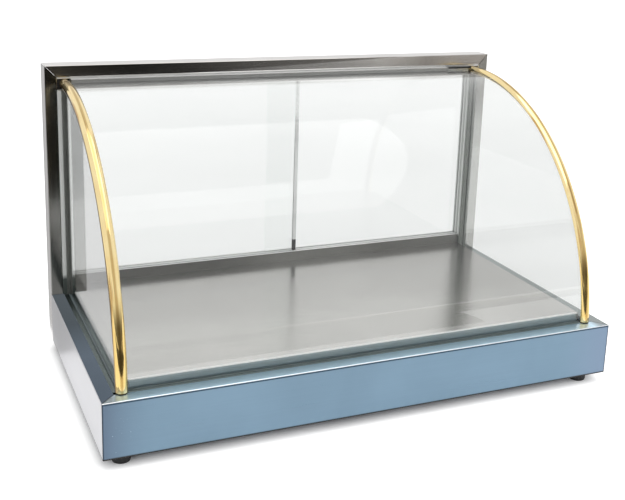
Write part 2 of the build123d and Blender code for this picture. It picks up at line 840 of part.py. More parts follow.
# Thermostat: body behind the plate, threaded bush through it, knob outside
with BuildPart() as thermostat_body:
    block(
        (thermostat_offset - thermostat_side / 2, thermostat_offset + thermostat_side / 2),
        (control_inside - thermostat_depth, control_inside),
        (control_z - thermostat_side / 2, control_z + thermostat_side / 2),
    )
    fillet(thermostat_body.edges().filter_by(Axis.Y), 2.0)
    with Locations(Plane(origin=(thermostat_offset, control_inside, control_z), z_dir=(0, 1, 0))):
        Cylinder(
            bush_diameter / 2,
            sheet + 2.0,
            align=(Align.CENTER, Align.CENTER, Align.MIN),
        )
        Cylinder(knob_shaft_diameter / 2 + running_gap, 24, mode=Mode.SUBTRACT)
finish(thermostat_body, "thermostat_body")

knob_back = control_face + 2.0 + knob_gap
with BuildPart() as thermostat_knob:
    with BuildSketch(Plane.XZ.offset(-knob_back)):
        with Locations((thermostat_offset, control_z)):
            Circle(knob_diameter / 2)
    extrude(amount=-knob_thickness, taper=4)
    fillet(thermostat_knob.edges().group_by(Axis.Y)[-1], 1.5)
    with BuildSketch(Plane.XZ.offset(-(knob_back + knob_thickness))):
        with Locations((thermostat_offset, control_z)):
            with PolarLocations(knob_diameter / 2, 24):
                Circle(0.9)
    extrude(amount=knob_thickness, mode=Mode.SUBTRACT)
    with BuildSketch(Plane.XZ.offset(-(knob_back + knob_thickness))):
        with Locations((thermostat_offset, control_z + knob_diameter / 4)):
            SlotOverall(9, 1.6, rotation=90)
    extrude(amount=0.8, mode=Mode.SUBTRACT)
    with Locations(Plane(origin=(thermostat_offset, knob_back, control_z), z_dir=(0, -1, 0))):
        Cylinder(
            knob_shaft_diameter / 2,
            11.0,
            align=(Align.CENTER, Align.CENTER, Align.MIN),
        )
finish(thermostat_knob, "thermostat_knob")

with BuildPart() as temperature_probe:
    with Locations(Plane(origin=(thermostat_offset, probe_y, probe_z), z_dir=(0, -1, 0))):
        Cylinder(probe_diameter / 2, probe_length, align=(Align.CENTER, Align.CENTER, Align.MIN))
    fillet(temperature_probe.edges().group_by(Axis.Y)[0], 2.5)
finish(temperature_probe, "temperature_probe")


def wire(route, diameter, radii):
    """Sweep a round wire along straight runs joined by arcs."""
    with BuildLine() as path:
        FilletPolyline(*route, radius=radii)
    with BuildSketch(Plane(origin=path.line @ 0, z_dir=path.line % 0)) as section:
        Circle(diameter / 2)
    sweep(section.sketch, path=path.line)


with BuildPart() as wiring:
    wire(mains_route, mains_diameter, mains_bend)
    wire(jumper_route, wire_diameter, jumper_bend)
    wire(probe_route, wire_diameter - 1, wire_bend)
    for side in (-1, 1):
        for route in (fan_route, module_route):
            wire([(side * x, y, z) for x, y, z in route], wire_diameter, wire_bend)
finish(wiring, "wiring")

# Rear frame: rectangular tube, mitred at the top corners
frame_middle_y = (frame_front + back) / 2
left_mitre = Plane(origin=(-post_inner, 0, header_bottom), z_dir=(1, 0, 1))
right_mitre = Plane(origin=(post_inner, 0, header_bottom), z_dir=(-1, 0, 1))
with BuildPart() as post:
    with BuildSketch(Plane.XY.offset(base_bottom)):
        with Locations((-half_width + frame_face / 2, frame_middle_y)):
            RectangleRounded(frame_face, frame_depth, frame_corner_radius)
            Rectangle(frame_face - 2 * frame_wall, frame_depth - 2 * frame_wall, mode=Mode.SUBTRACT)
    extrude(amount=frame_height)
    split(bisect_by=left_mitre, keep=Keep.BOTTOM)
    drill(left_post_seats)
    drill(left_rear_seats)
    drill(left_jamb_seats)
finish_pair(post, "post")

with BuildPart() as header:
    with BuildSketch(Plane.YZ.offset(-half_width)):
        with Locations((frame_middle_y, header_bottom + frame_face / 2)):
            RectangleRounded(frame_depth, frame_face, frame_corner_radius)
            Rectangle(frame_depth - 2 * frame_wall, frame_face - 2 * frame_wall, mode=Mode.SUBTRACT)
    extrude(amount=case_width)
    split(bisect_by=left_mitre, keep=Keep.TOP)
    split(bisect_by=right_mitre, keep=Keep.TOP)
    drill(head_track_seats)
finish(header, "header")


def track_outline(lip):
    """Section of a double track: a web at the bottom and three ribs that stand up from it."""
    with Locations((track_depth / 2, track_web / 2)):
        Rectangle(track_depth, track_web)
    for place in range(3):
        rib_start = place * (track_rib + track_channel)
        with Locations((rib_start + track_rib / 2, lip / 2)):
            Rectangle(track_rib, lip)


# Door tracks: the head and the jambs line the frame, and the sill lies on the deck
with BuildPart() as head_track:
    head_plane = Plane(origin=(post_inner, frame_front, header_bottom), x_dir=(0, 1, 0), z_dir=(-1, 0, 0))
    with BuildSketch(head_plane):
        track_outline(track_lip)
    extrude(amount=2 * post_inner)
    for side in (-1, 1):
        outer = side * post_inner
        inner = side * tube_clear
        block(
            (min(outer, inner), max(outer, inner)),
            (frame_front, frame_front + track_rib),
            (head_track_bottom, header_bottom - track_web),
            mode=Mode.SUBTRACT,
        )
    drill(head_track_seats)
finish(head_track, "head_track")

with BuildPart() as sill_track:
    sill_half = clear_half - fit
    sill_plane = Plane(origin=(-sill_half, frame_front, deck_top), x_dir=(0, 1, 0), z_dir=(1, 0, 0))
    with BuildSketch(sill_plane):
        track_outline(sill_height)
    extrude(amount=2 * sill_half)
finish(sill_track, "sill_track")

with BuildPart() as jamb:
    jamb_plane = Plane(
        origin=(-post_inner, frame_front, head_track_bottom), x_dir=(0, 1, 0), z_dir=(0, 0, -1)
    )
    with BuildSketch(jamb_plane):
        track_outline(track_lip)
    extrude(amount=head_track_bottom - flange_bottom)
    drill(left_jamb_seats)
finish_pair(jamb, "jamb")

# Curved front glass: an arc with a short level run into the seal under the header


def pane_angle(radius):
    """Angle from the front, in degrees, at which an arc of this radius meets the seats."""
    return degrees(asin((glass_bottom - curve_z) / radius))


outer_radius = curve_radius + glass / 2
inner_radius = curve_radius - glass / 2
with BuildPart() as front_glass:
    with BuildSketch(Plane.YZ):
        with BuildLine():
            outer_arc = CenterArc((curve_y, curve_z), outer_radius, 90, 90 - pane_angle(outer_radius))
            inner_arc = CenterArc((curve_y, curve_z), inner_radius, 90, 90 - pane_angle(inner_radius))
            Line(outer_arc @ 1, inner_arc @ 1)
            Polyline(
                outer_arc @ 0,
                (glass_rear, curve_z + outer_radius),
                (glass_rear, curve_z + inner_radius),
                inner_arc @ 0,
            )
        make_face()
    extrude(amount=glass_x + glass / 2, both=True)
finish(front_glass, "front_glass")

side_radius = inner_radius - glass_gap
with BuildPart() as side_glass:
    with BuildSketch(Plane.YZ.offset(-glass_x - glass / 2)):
        with BuildLine():
            side_arc = CenterArc((curve_y, curve_z), side_radius, 90, 90 - pane_angle(side_radius))
            Polyline(
                side_arc @ 0,
                (glass_rear, curve_z + side_radius),
                (glass_rear, glass_bottom),
                side_arc @ 1,
            )
        make_face()
    extrude(amount=glass)
finish_pair(side_glass, "side_glass")

# Rubber seats of the glasses' feet, in the slot between the flanges and the deck
with BuildPart() as front_glass_seat:
    block(
        (-tube_clear, tube_clear),
        (front + flange_front + 0.2, deck_front - 0.2),
        (flange_bottom, flange_bottom + seat_height),
    )
    block(
        (-tube_clear, tube_clear),
        (foot_y - glass / 2 - 0.1, foot_y + glass / 2 + fit),
        (glass_bottom, flange_bottom + seat_height),
        mode=Mode.SUBTRACT,
    )
finish(front_glass_seat, "front_glass_seat")

with BuildPart() as side_glass_seats:
    seat_start = foot_y + tube_diameter / 2 + 1
    for side in (-1, 1):
        middle = side * glass_x
        block(
            (middle - seat_width / 2, middle + seat_width / 2),
            (seat_start, frame_front),
            (flange_bottom, flange_bottom + seat_height),
        )
        block(
            (middle - glass / 2, middle + glass / 2),
            (seat_start, glass_rear),
            (glass_bottom, flange_bottom + seat_height),
            mode=Mode.SUBTRACT,
        )
finish(side_glass_seats, "side_glass_seats")

# Seals that hold the rear edges of the glasses
with BuildPart() as side_seals:
    block(
        (-glass_x - side_seal_width / 2, -glass_x + side_seal_width / 2),
        (frame_front - seal_depth, frame_front),
        (flange_bottom + seat_height, head_track_bottom),
    )
    block(
        (-glass_x - glass / 2, -glass_x + glass / 2),
        (frame_front - seal_depth, glass_rear),
        (flange_bottom + seat_height, head_track_bottom),
        mode=Mode.SUBTRACT,
    )
    mirror(about=Plane.YZ)
finish(side_seals, "side_seals")

with BuildPart() as head_seal:
    seal_span = (-tube_clear, tube_clear - head_seal_end_gap)
    block(
        seal_span,
        (frame_front - seal_depth, frame_front),
        (curve_top - glass / 2 - head_seal_lip, curve_top + glass / 2 + head_seal_height),
    )
    block(
        seal_span,
        (frame_front - seal_depth, glass_rear),
        (curve_top - glass / 2, curve_top + glass / 2),
        mode=Mode.SUBTRACT,
    )
finish(head_seal, "head_seal")

# Brass tube: a C section that wraps the corner of the two glasses from outside
curve_axis = Axis((0, curve_y, curve_z), (1, 0, 0))
tube_sweep = 96.0
section_plane = Plane(origin=(-glass_x, curve_y, curve_top), x_dir=(1, 0, 0), z_dir=(0, -1, 0))
tube_radius = tube_diameter / 2
corner_clear = glass / 2 + glass_gap
with BuildPart() as brass_tube:
    with BuildSketch(section_plane) as tube_section:
        Circle(tube_radius)
        Circle(tube_radius - tube_wall, mode=Mode.SUBTRACT)
        with Locations((-corner_clear, corner_clear)):
            Rectangle(
                2 * tube_diameter,
                2 * tube_diameter,
                align=(Align.MIN, Align.MAX),
                mode=Mode.SUBTRACT,
            )
    extrude(amount=-(glass_flat + tube_reach))
    revolve(tube_section.sketch, axis=curve_axis, revolution_arc=tube_sweep)
    split(bisect_by=Plane.XY.offset(base_top), keep=Keep.TOP)
finish_pair(brass_tube, "brass_tube")

# Bead of clear sealant that bonds each tube to the corner inside it
with BuildPart() as sealant_beads:
    with BuildSketch(section_plane) as bead_section:
        Circle(tube_radius - tube_wall - bead_gap)
        with Locations((-glass / 2 - bead_gap, glass / 2 + bead_gap)):
            Rectangle(
                2 * tube_diameter,
                2 * tube_diameter,
                align=(Align.MIN, Align.MAX),
                mode=Mode.SUBTRACT,
            )
    extrude(amount=-glass_flat)
    revolve(bead_section.sketch, axis=curve_axis, revolution_arc=tube_sweep)
    split(bisect_by=Plane.XY.offset(base_top), keep=Keep.TOP)
    mirror(about=Plane.YZ)
finish(sealant_beads, "sealant_beads")


# Sliding doors: the left one runs in the front channel, the right one in the rear channel
def pane(x_low, channel_y):
    """Add the glass of a door that starts at x_low and stands in a channel."""
    block(
        (x_low, x_low + door_width),
        (channel_y - door_glass / 2, channel_y + door_glass / 2),
        (door_bottom, door_top),
    )


def shoes(x_low, channel_y):
    """Add the two nylon shoes that carry a door in the sill track."""
    half_shoe = track_channel / 2 - shoe_clearance
    floor_z = deck_top + track_web
    for start in (x_low + shoe_inset, x_low + door_width - shoe_inset - shoe_length):
        block(
            (start, start + shoe_length),
            (channel_y - half_shoe, channel_y + half_shoe),
            (floor_z, floor_z + shoe_height),
        )
        block(
            (start, start + shoe_length),
            (channel_y - door_glass / 2, channel_y + door_glass / 2),
            (door_bottom, floor_z + shoe_height),
            mode=Mode.SUBTRACT,
        )


left_door_x = -door_closed_edge
right_door_x = door_closed_edge - door_width

with BuildPart() as left_door_glass:
    pane(left_door_x, front_channel_y)
finish(left_door_glass, "left_door_glass")

with BuildPart() as right_door_glass:
    pane(right_door_x, rear_channel_y)
finish(right_door_glass, "right_door_glass")

with BuildPart() as left_door_shoes:
    shoes(left_door_x, front_channel_y)
finish(left_door_shoes, "left_door_shoes")

with BuildPart() as right_door_shoes:
    shoes(right_door_x, rear_channel_y)
finish(right_door_shoes, "right_door_shoes")


def edge_channel(z_low, z_high):
    """Add a U channel over the meeting edge of the left door, between two levels."""
    half_trim = door_glass / 2 + trim_wall
    x_low = left_door_right_edge - trim_face
    block(
        (x_low, left_door_right_edge + trim_wall),
        (front_channel_y - half_trim, front_channel_y + half_trim),
        (z_low, z_high),
    )
    block(
        (x_low, left_door_right_edge),
        (front_channel_y - door_glass / 2, front_channel_y + door_glass / 2),
        (z_low, z_high),
        mode=Mode.SUBTRACT,
    )


stop_bottom = sill_top + trim_end_gap
with BuildPart() as meeting_trim:
    edge_channel(stop_bottom + stop_height, head_track_bottom - trim_end_gap)
finish(meeting_trim, "meeting_trim")

with BuildPart() as meeting_stop:
    edge_channel(stop_bottom, stop_bottom + stop_height)
finish(meeting_stop, "meeting_stop")

# Rubber bumpers at the ends of the channels, where the doors' edges strike
with BuildPart() as door_bumpers:
    half_bumper = track_channel / 2 - 0.1
    bumper_low = deck_top
    for side in (-1, 1):
        wall = side * (post_inner - track_web)
        tip = side * (door_closed_edge + bumper_gap)
        for channel_y in (front_channel_y, rear_channel_y):
            block(
                (min(wall, tip), max(wall, tip)),
                (channel_y - half_bumper, channel_y + half_bumper),
                (bumper_low, bumper_low + bumper_height),
            )
finish(door_bumpers, "door_bumpers")

# Rubber feet, tapered, each with a recess for its screw
with BuildPart() as feet:
    with Locations(*[(x, y, 0) for x, y in foot_places]):
        Cone(
            foot_tread_diameter / 2,
            foot_top_diameter / 2,
            foot_height,
            align=(Align.CENTER, Align.CENTER, Align.MIN),
        )
    fillet(feet.edges().group_by(Axis.Z)[0], 1.5)
    with Locations(*[(x, y, 0) for x, y in foot_places]):
        Cylinder(
            foot_recess_diameter / 2,
            foot_recess_depth,
            align=(Align.CENTER, Align.CENTER, Align.MIN),
            mode=Mode.SUBTRACT,
        )
        Cylinder(
            foot_screw_diameter / 2 + 0.1,
            foot_height,
            align=(Align.CENTER, Align.CENTER, Align.MIN),
            mode=Mode.SUBTRACT,
        )
finish(feet, "feet")

# Screws, one node for each kind
with BuildPart() as foot_screws:
    drive(
        seats([(x, y, foot_recess_depth) for x, y in foot_places], (0, 0, -1)),
        foot_height - foot_recess_depth + 7,
        foot_screw_diameter,
    )
    with Locations(*[(x, y, pan_top) for x, y in foot_places]):
        Cylinder(4.0, 3.2, align=(Align.CENTER, Align.CENTER, Align.MIN))
finish(foot_screws, "foot_screws")

with BuildPart() as pan_screws:
    drive(front_pan_seats + rear_pan_seats + left_pan_seats + right_pan_seats)
finish(pan_screws, "pan_screws")

with BuildPart() as frame_screws:
    drive(left_post_seats)
    drive(left_rear_seats)
    mirror(about=Plane.YZ)
finish(frame_screws, "frame_screws")

with BuildPart() as track_screws:
    drive(left_jamb_seats, track_screw_length)
    mirror(about=Plane.YZ)
    drive(head_track_seats, track_screw_length)
finish(track_screws, "track_screws")
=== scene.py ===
# %% [markdown]
# A countertop display case: a folded steel base with a cold deck, a frame of rectangular tube at
# the back, panes of glass, two brass tubes over the corners of the glass, and two sliding doors.
# The solids come in as a fixed frame. This lesson gives them their finish, and makes the pieces
# whose curves and eased edges decide how the case catches the light.

# %% Load the frame
import math
import bmesh
import bpy
import numpy as np
from mathutils import Matrix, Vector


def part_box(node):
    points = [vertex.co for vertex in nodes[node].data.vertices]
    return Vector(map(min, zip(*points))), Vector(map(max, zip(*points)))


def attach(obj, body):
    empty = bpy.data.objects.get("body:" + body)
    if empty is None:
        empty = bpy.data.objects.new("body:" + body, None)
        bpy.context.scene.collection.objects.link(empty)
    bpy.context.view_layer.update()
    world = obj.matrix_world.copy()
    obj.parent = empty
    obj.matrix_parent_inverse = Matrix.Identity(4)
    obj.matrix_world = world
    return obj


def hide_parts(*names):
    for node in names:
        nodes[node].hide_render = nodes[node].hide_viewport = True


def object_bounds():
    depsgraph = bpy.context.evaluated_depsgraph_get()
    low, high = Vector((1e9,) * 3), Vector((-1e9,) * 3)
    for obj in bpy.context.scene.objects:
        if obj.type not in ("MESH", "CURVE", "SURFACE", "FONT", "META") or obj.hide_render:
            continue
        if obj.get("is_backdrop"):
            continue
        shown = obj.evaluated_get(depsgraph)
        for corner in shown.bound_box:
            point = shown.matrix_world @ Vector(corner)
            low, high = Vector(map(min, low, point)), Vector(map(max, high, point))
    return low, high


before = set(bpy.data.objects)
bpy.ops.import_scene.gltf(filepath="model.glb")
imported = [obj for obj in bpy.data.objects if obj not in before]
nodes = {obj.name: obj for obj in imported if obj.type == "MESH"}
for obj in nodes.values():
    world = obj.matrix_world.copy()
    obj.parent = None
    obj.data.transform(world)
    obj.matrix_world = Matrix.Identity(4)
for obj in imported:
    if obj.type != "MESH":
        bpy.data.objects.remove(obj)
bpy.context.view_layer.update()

# %% [markdown]
# Most lengths are read from the solids, so the pieces follow the frame if it changes. The glass
# curve is a circle that is level at its top. Only one circle has its centre straight below that
# top and goes through the foot, so the rise and the reach give its radius.

# %% Measure the frame
MM = 0.001
SIDES = (("left", -1), ("right", 1))
(_, front, base_bottom), (_, _, base_top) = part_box("base_front_panel")
(_, frame_front, header_bottom), (half_width, back, frame_top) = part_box("header")
deck_low, deck_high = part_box("deck_plate")
head_track_low, head_track_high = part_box("head_track")
sill_low, sill_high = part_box("sill_track")
jamb_low, jamb_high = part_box("left_jamb")
glass_low, glass_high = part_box("front_glass")
flank_low, flank_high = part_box("left_side_glass")
tube_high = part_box("left_brass_tube")[1]

post_inner = half_width - (frame_top - header_bottom)
clear_half = -jamb_high[0]

# Lengths that no box tells. The last three are the deck's and the glass's foot, counted from the
# front, and the flat of the glass behind its curve.
sheet, hair, fine_edge = 1.2 * MM, 0.3 * MM, 0.2 * MM
side_flange, front_flange = 20 * MM, 21 * MM
deck_in, foot_in, glass_flat = 29.5 * MM, 24.5 * MM, 16 * MM

deck_top, deck_front = deck_high[2], front + deck_in
glass_half = (flank_high[0] - flank_low[0]) / 2
glass_x = glass_high[0] - glass_half
curve_top = glass_high[2] - glass_half
curve_y = frame_front - glass_flat
reach, rise = curve_y - (front + foot_in), curve_top - base_top
curve_radius = (reach**2 + rise**2) / (2 * rise)
curve_z = curve_top - curve_radius
print("curve radius", round(curve_radius, 4), "glass foot", round(glass_low[1], 4))

# %% [markdown]
# Most pieces of a case like this are bars, sheets and tubes: one outline carried along a line.
# A shape is then a stack of rings, each ring a loop of points, and the skin is the quads between
# neighbouring rings.


# %% Rings into a skin
def skin(rings, capped=True):
    """Quads between neighbouring rings of points, and a flat face over each end if capped."""
    rings = np.asarray(rings, float)
    rows, around = rings.shape[:2]
    i, j = np.meshgrid(np.arange(rows - 1), np.arange(around), indexing="ij")
    k = (j + 1) % around
    quads = np.stack([i * around + j, i * around + k, (i + 1) * around + k, (i + 1) * around + j], -1)
    faces = quads.reshape(-1, 4).tolist()
    if capped:
        faces.append(list(range(around)))
        faces.append(list(range((rows - 1) * around, rows * around)))
    return rings.reshape(-1, 3), faces


# %% [markdown]
# No edge of a real bar is a knife edge: it is bent, broken or ground, and that narrow curve
# carries a thin highlight. Each outline therefore gets an arc at every corner. The arc touches
# both sides of the corner, so its centre lies on the line that halves the angle.


# %% Round the corners of an outline
def eased(outline, radius, steps=4):
    """Replaces each corner by an arc of that radius, turned evenly from one side to the next."""
    p = np.asarray(outline, float)
    back, ahead = np.roll(p, 1, 0) - p, np.roll(p, -1, 0) - p
    back_length, ahead_length = np.linalg.norm(back, axis=1), np.linalg.norm(ahead, axis=1)
    u, v = back / back_length[:, None], ahead / ahead_length[:, None]
    half = np.arccos(np.clip((u * v).sum(1), -1, 1)) / 2
    room = 0.48 * np.minimum(back_length, ahead_length)
    reach = np.minimum(np.broadcast_to(radius, len(p)) / np.tan(half), room)
    bisector = (u + v) / np.linalg.norm(u + v, axis=1)[:, None]
    centre = p + bisector * (reach / np.cos(half))[:, None]
    start, stop = p + u * reach[:, None] - centre, p + v * reach[:, None] - centre
    turn = (math.pi - 2 * half)[:, None, None]
    share = np.linspace(0, 1, steps)[None, :, None]
    arc = (np.sin((1 - share) * turn) * start[:, None] + np.sin(share * turn) * stop[:, None]) / np.sin(turn)
    return (centre[:, None] + arc).reshape(-1, 2)


# %% Carry an outline along an axis
def carried(outline, order, start, stop):
    """The outline's two coordinates go to the first two axes named in order, and each point runs
    along the third from start to stop, which are numbers or one number for each point."""
    outline = np.asarray(outline, float)
    axes = ["xyz".index(letter) for letter in order]
    rings = np.zeros((2, len(outline), 3))
    rings[:, :, axes[0]], rings[:, :, axes[1]] = outline[:, 0], outline[:, 1]
    rings[0, :, axes[2]], rings[1, :, axes[2]] = start, stop
    return skin(rings)


def rectangle(low_a, high_a, low_b, high_b):
    """Four corners of a rectangle, in turn."""
    return np.array([(low_a, low_b), (high_a, low_b), (high_a, high_b), (low_a, high_b)])


def rounded_box(low, high, ease=fine_edge, order="xyz"):
    """A box with every edge eased: an outline with round corners, drawn in at both ends."""
    axes = ["xyz".index(letter) for letter in order]
    low, high = np.asarray(low)[axes], np.asarray(high)[axes]
    full = eased(rectangle(low[0], high[0], low[1], high[1]), ease)
    middle = (low[:2] + high[:2]) / 2
    drawn = middle + (full - middle) * (1 - 2 * ease / (high[:2] - low[:2]))
    rings = np.zeros((4, len(full), 3))
    levels = (low[2], low[2] + ease, high[2] - ease, high[2])
    for ring, flat, level in zip(rings, (drawn, full, full, drawn), levels):
        ring[:, axes[0]], ring[:, axes[1]], ring[:, axes[2]] = flat[:, 0], flat[:, 1], level
    return skin(rings)


def turned(outline, centre, along, segments=48):
    """Spins an outline of (radius, distance) about a line through centre, as a lathe does."""
    outline = np.asarray(outline, float)
    angle = np.linspace(0, 2 * math.pi, segments, endpoint=False)
    along = np.asarray(along, float)
    side = np.cross(along, (0.0, 0.0, 1.0) if abs(along[2]) < 0.5 else (1.0, 0.0, 0.0))
    side /= np.linalg.norm(side)
    other = np.cross(along, side)
    spoke = np.cos(angle)[:, None] * side + np.sin(angle)[:, None] * other
    rings = np.asarray(centre) + outline[:, 0, None, None] * spoke + outline[:, 1, None, None] * along
    return skin(rings)


# %% [markdown]
# A piece is one or more shapes in one mesh. Its doubles are merged and its faces are turned
# outwards. Smooth shading with marked sharp edges and weighted normals keeps the flats flat,
# so only the eased corners roll the light.


# %% Make a piece from shapes
def shown(name, data):
    """A new object in the scene."""
    made = bpy.data.objects.new(name, data)
    bpy.context.scene.collection.objects.link(made)
    return made


def piece(name, shapes, materials, stands_for=(), body="case", edge_faces=None, sharp=40):
    """Joins shapes in one mesh and lets it ride on a body. edge_faces gives each face the number of
    its material, from the centres and normals of the faces."""
    points, faces, first = [], [], 0
    for shape_points, shape_faces in shapes:
        points.append(shape_points)
        faces += [[first + corner for corner in face] for face in shape_faces]
        first += len(shape_points)
    mesh = bpy.data.meshes.new(name)
    mesh.from_pydata(np.concatenate(points).tolist(), [], faces)
    work = bmesh.new()
    work.from_mesh(mesh)
    bmesh.ops.remove_doubles(work, verts=work.verts, dist=1e-6)
    bmesh.ops.dissolve_degenerate(work, edges=work.edges, dist=1e-7)
    bmesh.ops.recalc_face_normals(work, faces=work.faces)
    work.to_mesh(mesh)
    work.free()
    mesh.polygons.foreach_set("use_smooth", np.ones(len(mesh.polygons), bool))
    mesh.set_sharp_from_angle(angle=math.radians(sharp))
    for material in materials:
        mesh.materials.append(material)
    if edge_faces:
        normals, centres = np.zeros((2, len(mesh.polygons) * 3))
        mesh.polygons.foreach_get("normal", normals)
        mesh.polygons.foreach_get("center", centres)
        chosen = edge_faces(centres.reshape(-1, 3), normals.reshape(-1, 3))
        mesh.polygons.foreach_set("material_index", chosen.astype(np.int32))
    made = shown(name, mesh)
    weighted = made.modifiers.new("flats", "WEIGHTED_NORMAL")
    weighted.keep_sharp, weighted.weight = True, 90
    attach(made, body)
    if stands_for:
        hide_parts(*stands_for)
    print(name, len(mesh.polygons), "faces")
    return made


# %% [markdown]
# A finish is a small graph of nodes. Grain is noise that is stretched along the line in which
# the steel was rubbed: low scale along it, high scale across it. The same stretched noise moves
# the roughness and a slight bump, so the grain shows in the highlight more than in the colour.


# %% Nodes and grain
def fill(node, links):
    """Sets each input of a node to a value, or links it where the value is another node's output."""
    for socket, source in links:
        if isinstance(source, bpy.types.NodeSocket):
            node.id_data.links.new(source, node.inputs[socket])
        else:
            node.inputs[socket].default_value = source
    return node


def adder(tree):
    """A function that adds a node to a tree and fills its inputs."""
    def add(kind, links=(), **settings):
        node = tree.nodes.new("ShaderNode" + kind)
        for key, value in settings.items():
            setattr(node, key, value)
        return fill(node, links)
    return add


def graph(name):
    """A new material with its Principled shader, and the function that adds its nodes."""
    material = bpy.data.materials.new(name)
    material.use_nodes = True
    return material, material.node_tree.nodes["Principled BSDF"], adder(material.node_tree)


def show(material, share, first, second):
    """Mixes two shader nodes, all first where share is 0 and all second where it is 1."""
    links = [(0, share), (1, first.outputs[0]), (2, second.outputs[0])]
    final = adder(material.node_tree)("MixShader", links)
    fill(material.node_tree.nodes["Material Output"], [("Surface", final.outputs[0])])


def position(add, axis=None):
    """A point's place on the case, or one of its three coordinates."""
    point = add("TexCoord").outputs["Object"]
    return add("SeparateXYZ", [(0, point)]).outputs[axis] if axis else point


def maths(add, operation, first, second=0.0, **settings):
    """One number from two, by the operation named."""
    return add("Math", [(0, first), (1, second)], operation=operation, **settings).outputs[0]


def vector(add, operation, first, second=(0.0, 0.0, 0.0)):
    """One vector from two, or their dot product, or the length of the first."""
    node = add("VectorMath", [(0, first), (1, second)], operation=operation)
    return node.outputs["Value" if operation in ("DOT_PRODUCT", "LENGTH") else "Vector"]


def ranged(add, value, start, stop, low=0.0, high=1.0, **settings):
    """Goes from low to high as the value goes from start to stop, and stays level beyond."""
    links = [("Value", value), ("From Min", start), ("From Max", stop), ("To Min", low), ("To Max", high)]
    return add("MapRange", links, **settings).outputs["Result"]


def noise(add, scale, detail=3.0, distortion=0.0):
    """Noise from 0 to 1 on the piece's own coordinates, with one scale for each axis."""
    stretch = add("Mapping", [("Vector", position(add)), ("Scale", scale)])
    return add("TexNoise", [("Vector", stretch.outputs["Vector"]), ("Scale", 1.0), ("Detail", detail),
                            ("Distortion", distortion)]).outputs["Fac"]


def ramped(add, source, stops):
    """A colour ramp through (position, colour) stops."""
    node = add("ValToRGB", [("Fac", source)])
    ramp = node.color_ramp
    while len(ramp.elements) < len(stops):
        ramp.elements.new(0.5)
    for element, (stop, colour) in zip(ramp.elements, stops):
        element.position, element.color = stop, (*colour, 1.0)
    return node.outputs["Color"]


def mixed(add, factor, first, second, blend="MIX"):
    """Mixes a colour with a second one by a factor, or multiplies it by that colour."""
    if isinstance(second, tuple):
        second = (*second, 1.0)
    return add("Mix", [(0, factor), (6, first), (7, second)], data_type="RGBA", blend_type=blend).outputs[2]


def lifted(colour, share):
    """A colour made lighter or darker by a share of itself."""
    return tuple(min(1.0, channel * (1 + share)) for channel in colour)


def fade(add, axis, mark_start, mark_full):
    """Rises from 0 to 1 as a coordinate goes from where the mark starts to where it is full, for dirt
    and for painted light and shade alike. X counts from the case's middle.
    """
    value = position(add, axis)
    return ranged(add, maths(add, "ABSOLUTE", value) if axis == "X" else value, mark_start, mark_full)


def slant(add, weights, mark_start, mark_full):
    """Rises from 0 to 1 as the sum of x, y and z times their weights goes from where the mark starts
    to where it is full, for dirt and for painted light and shade alike.
    """
    return ranged(add, vector(add, "DOT_PRODUCT", position(add), weights), mark_start, mark_full)


def seam(add, weights, offset, half):
    """1 on the plane where |x|, y and z times their weights add up to offset, and 0 beyond half."""
    across = maths(add, "ABSOLUTE", position(add, "X"))
    point = add("CombineXYZ", [(0, across), (1, position(add, "Y")), (2, position(add, "Z"))]).outputs[0]
    apart = maths(add, "SUBTRACT", vector(add, "DOT_PRODUCT", point, weights), offset)
    return ranged(add, maths(add, "ABSOLUTE", apart), half, half / 3)


def product(add, first, second):
    """The product of two masks."""
    return maths(add, "MULTIPLY", first, second)


def on_right(add):
    """1 on the right half of the case and 0 on the left."""
    return maths(add, "GREATER_THAN", position(add, "X"))


# %% [markdown]
# Dirt gathers in the joints, and each face mirrors another part of the room. Each function gives
# pairs of a mask and the colour that lies over the metal there: dark joints and wear, painted
# shade along the foot of the walls, painted highlights and painted reflections.


# %% Dirt, joints, painted shade and painted reflections
def foot_painted_shadow(add):
    """Painted shadow: the dark line along the foot of a wall."""
    return [(fade(add, "Z", base_bottom + 3.2 * MM, base_bottom + 1.2 * MM), (0.03, 0.026, 0.022))]


def front_wall_wear_and_shade(add):
    """A darker left end with pale specks of wear, a bluer right end, dark joints at both ends, and
    painted shadow lines under the fold and along the foot.
    """
    spots = noise(add, (420, 420, 420), 2.0)
    near_left = slant(add, (-1, 0, 0), half_width - 70 * MM, half_width - 5 * MM)
    return [(product(add, near_left, near_left), (0.12, 0.165, 0.225)),
            (product(add, ranged(add, spots, 0.7, 0.76), near_left), (0.4, 0.52, 0.62)),
            (slant(add, (1, 0, 0), half_width - 80 * MM, half_width - 10 * MM), (0.192, 0.258, 0.35)),
            # Painted shadow: a dark line just under the fold's painted highlight.
            (seam(add, (0, 0, 1), base_top - 2.4 * MM, 1.3 * MM), (0.035, 0.055, 0.08)),
            (fade(add, "X", half_width - 2.4 * MM, half_width - 1.0 * MM), (0.04, 0.055, 0.075)),
            *foot_painted_shadow(add)]


def corner_joint(add):
    """The mitred joint of the base's flanges: as far in from the side as from the front."""
    slope = front_flange / side_flange
    return [(seam(add, (slope, 1, 0), front + half_width * slope, 1.3 * MM), (0.03, 0.035, 0.04))]


def front_flange_shade_and_joint(add):
    """Painted shade darkens the flange in front beside the feet of the tubes, and it has a dark joint at each
    end.
    """
    near_ends = fade(add, "X", half_width - 26 * MM, half_width - 14 * MM)
    return [(near_ends, (0.24, 0.3, 0.33)), *corner_joint(add)]


def side_flange_shade_and_joint(add):
    """Painted shade darkens the flange at the side towards the back, and it has the same joint at its front
    end.
    """
    return [(fade(add, "Y", -70 * MM, 50 * MM), (0.05, 0.078, 0.1)), *corner_joint(add)]


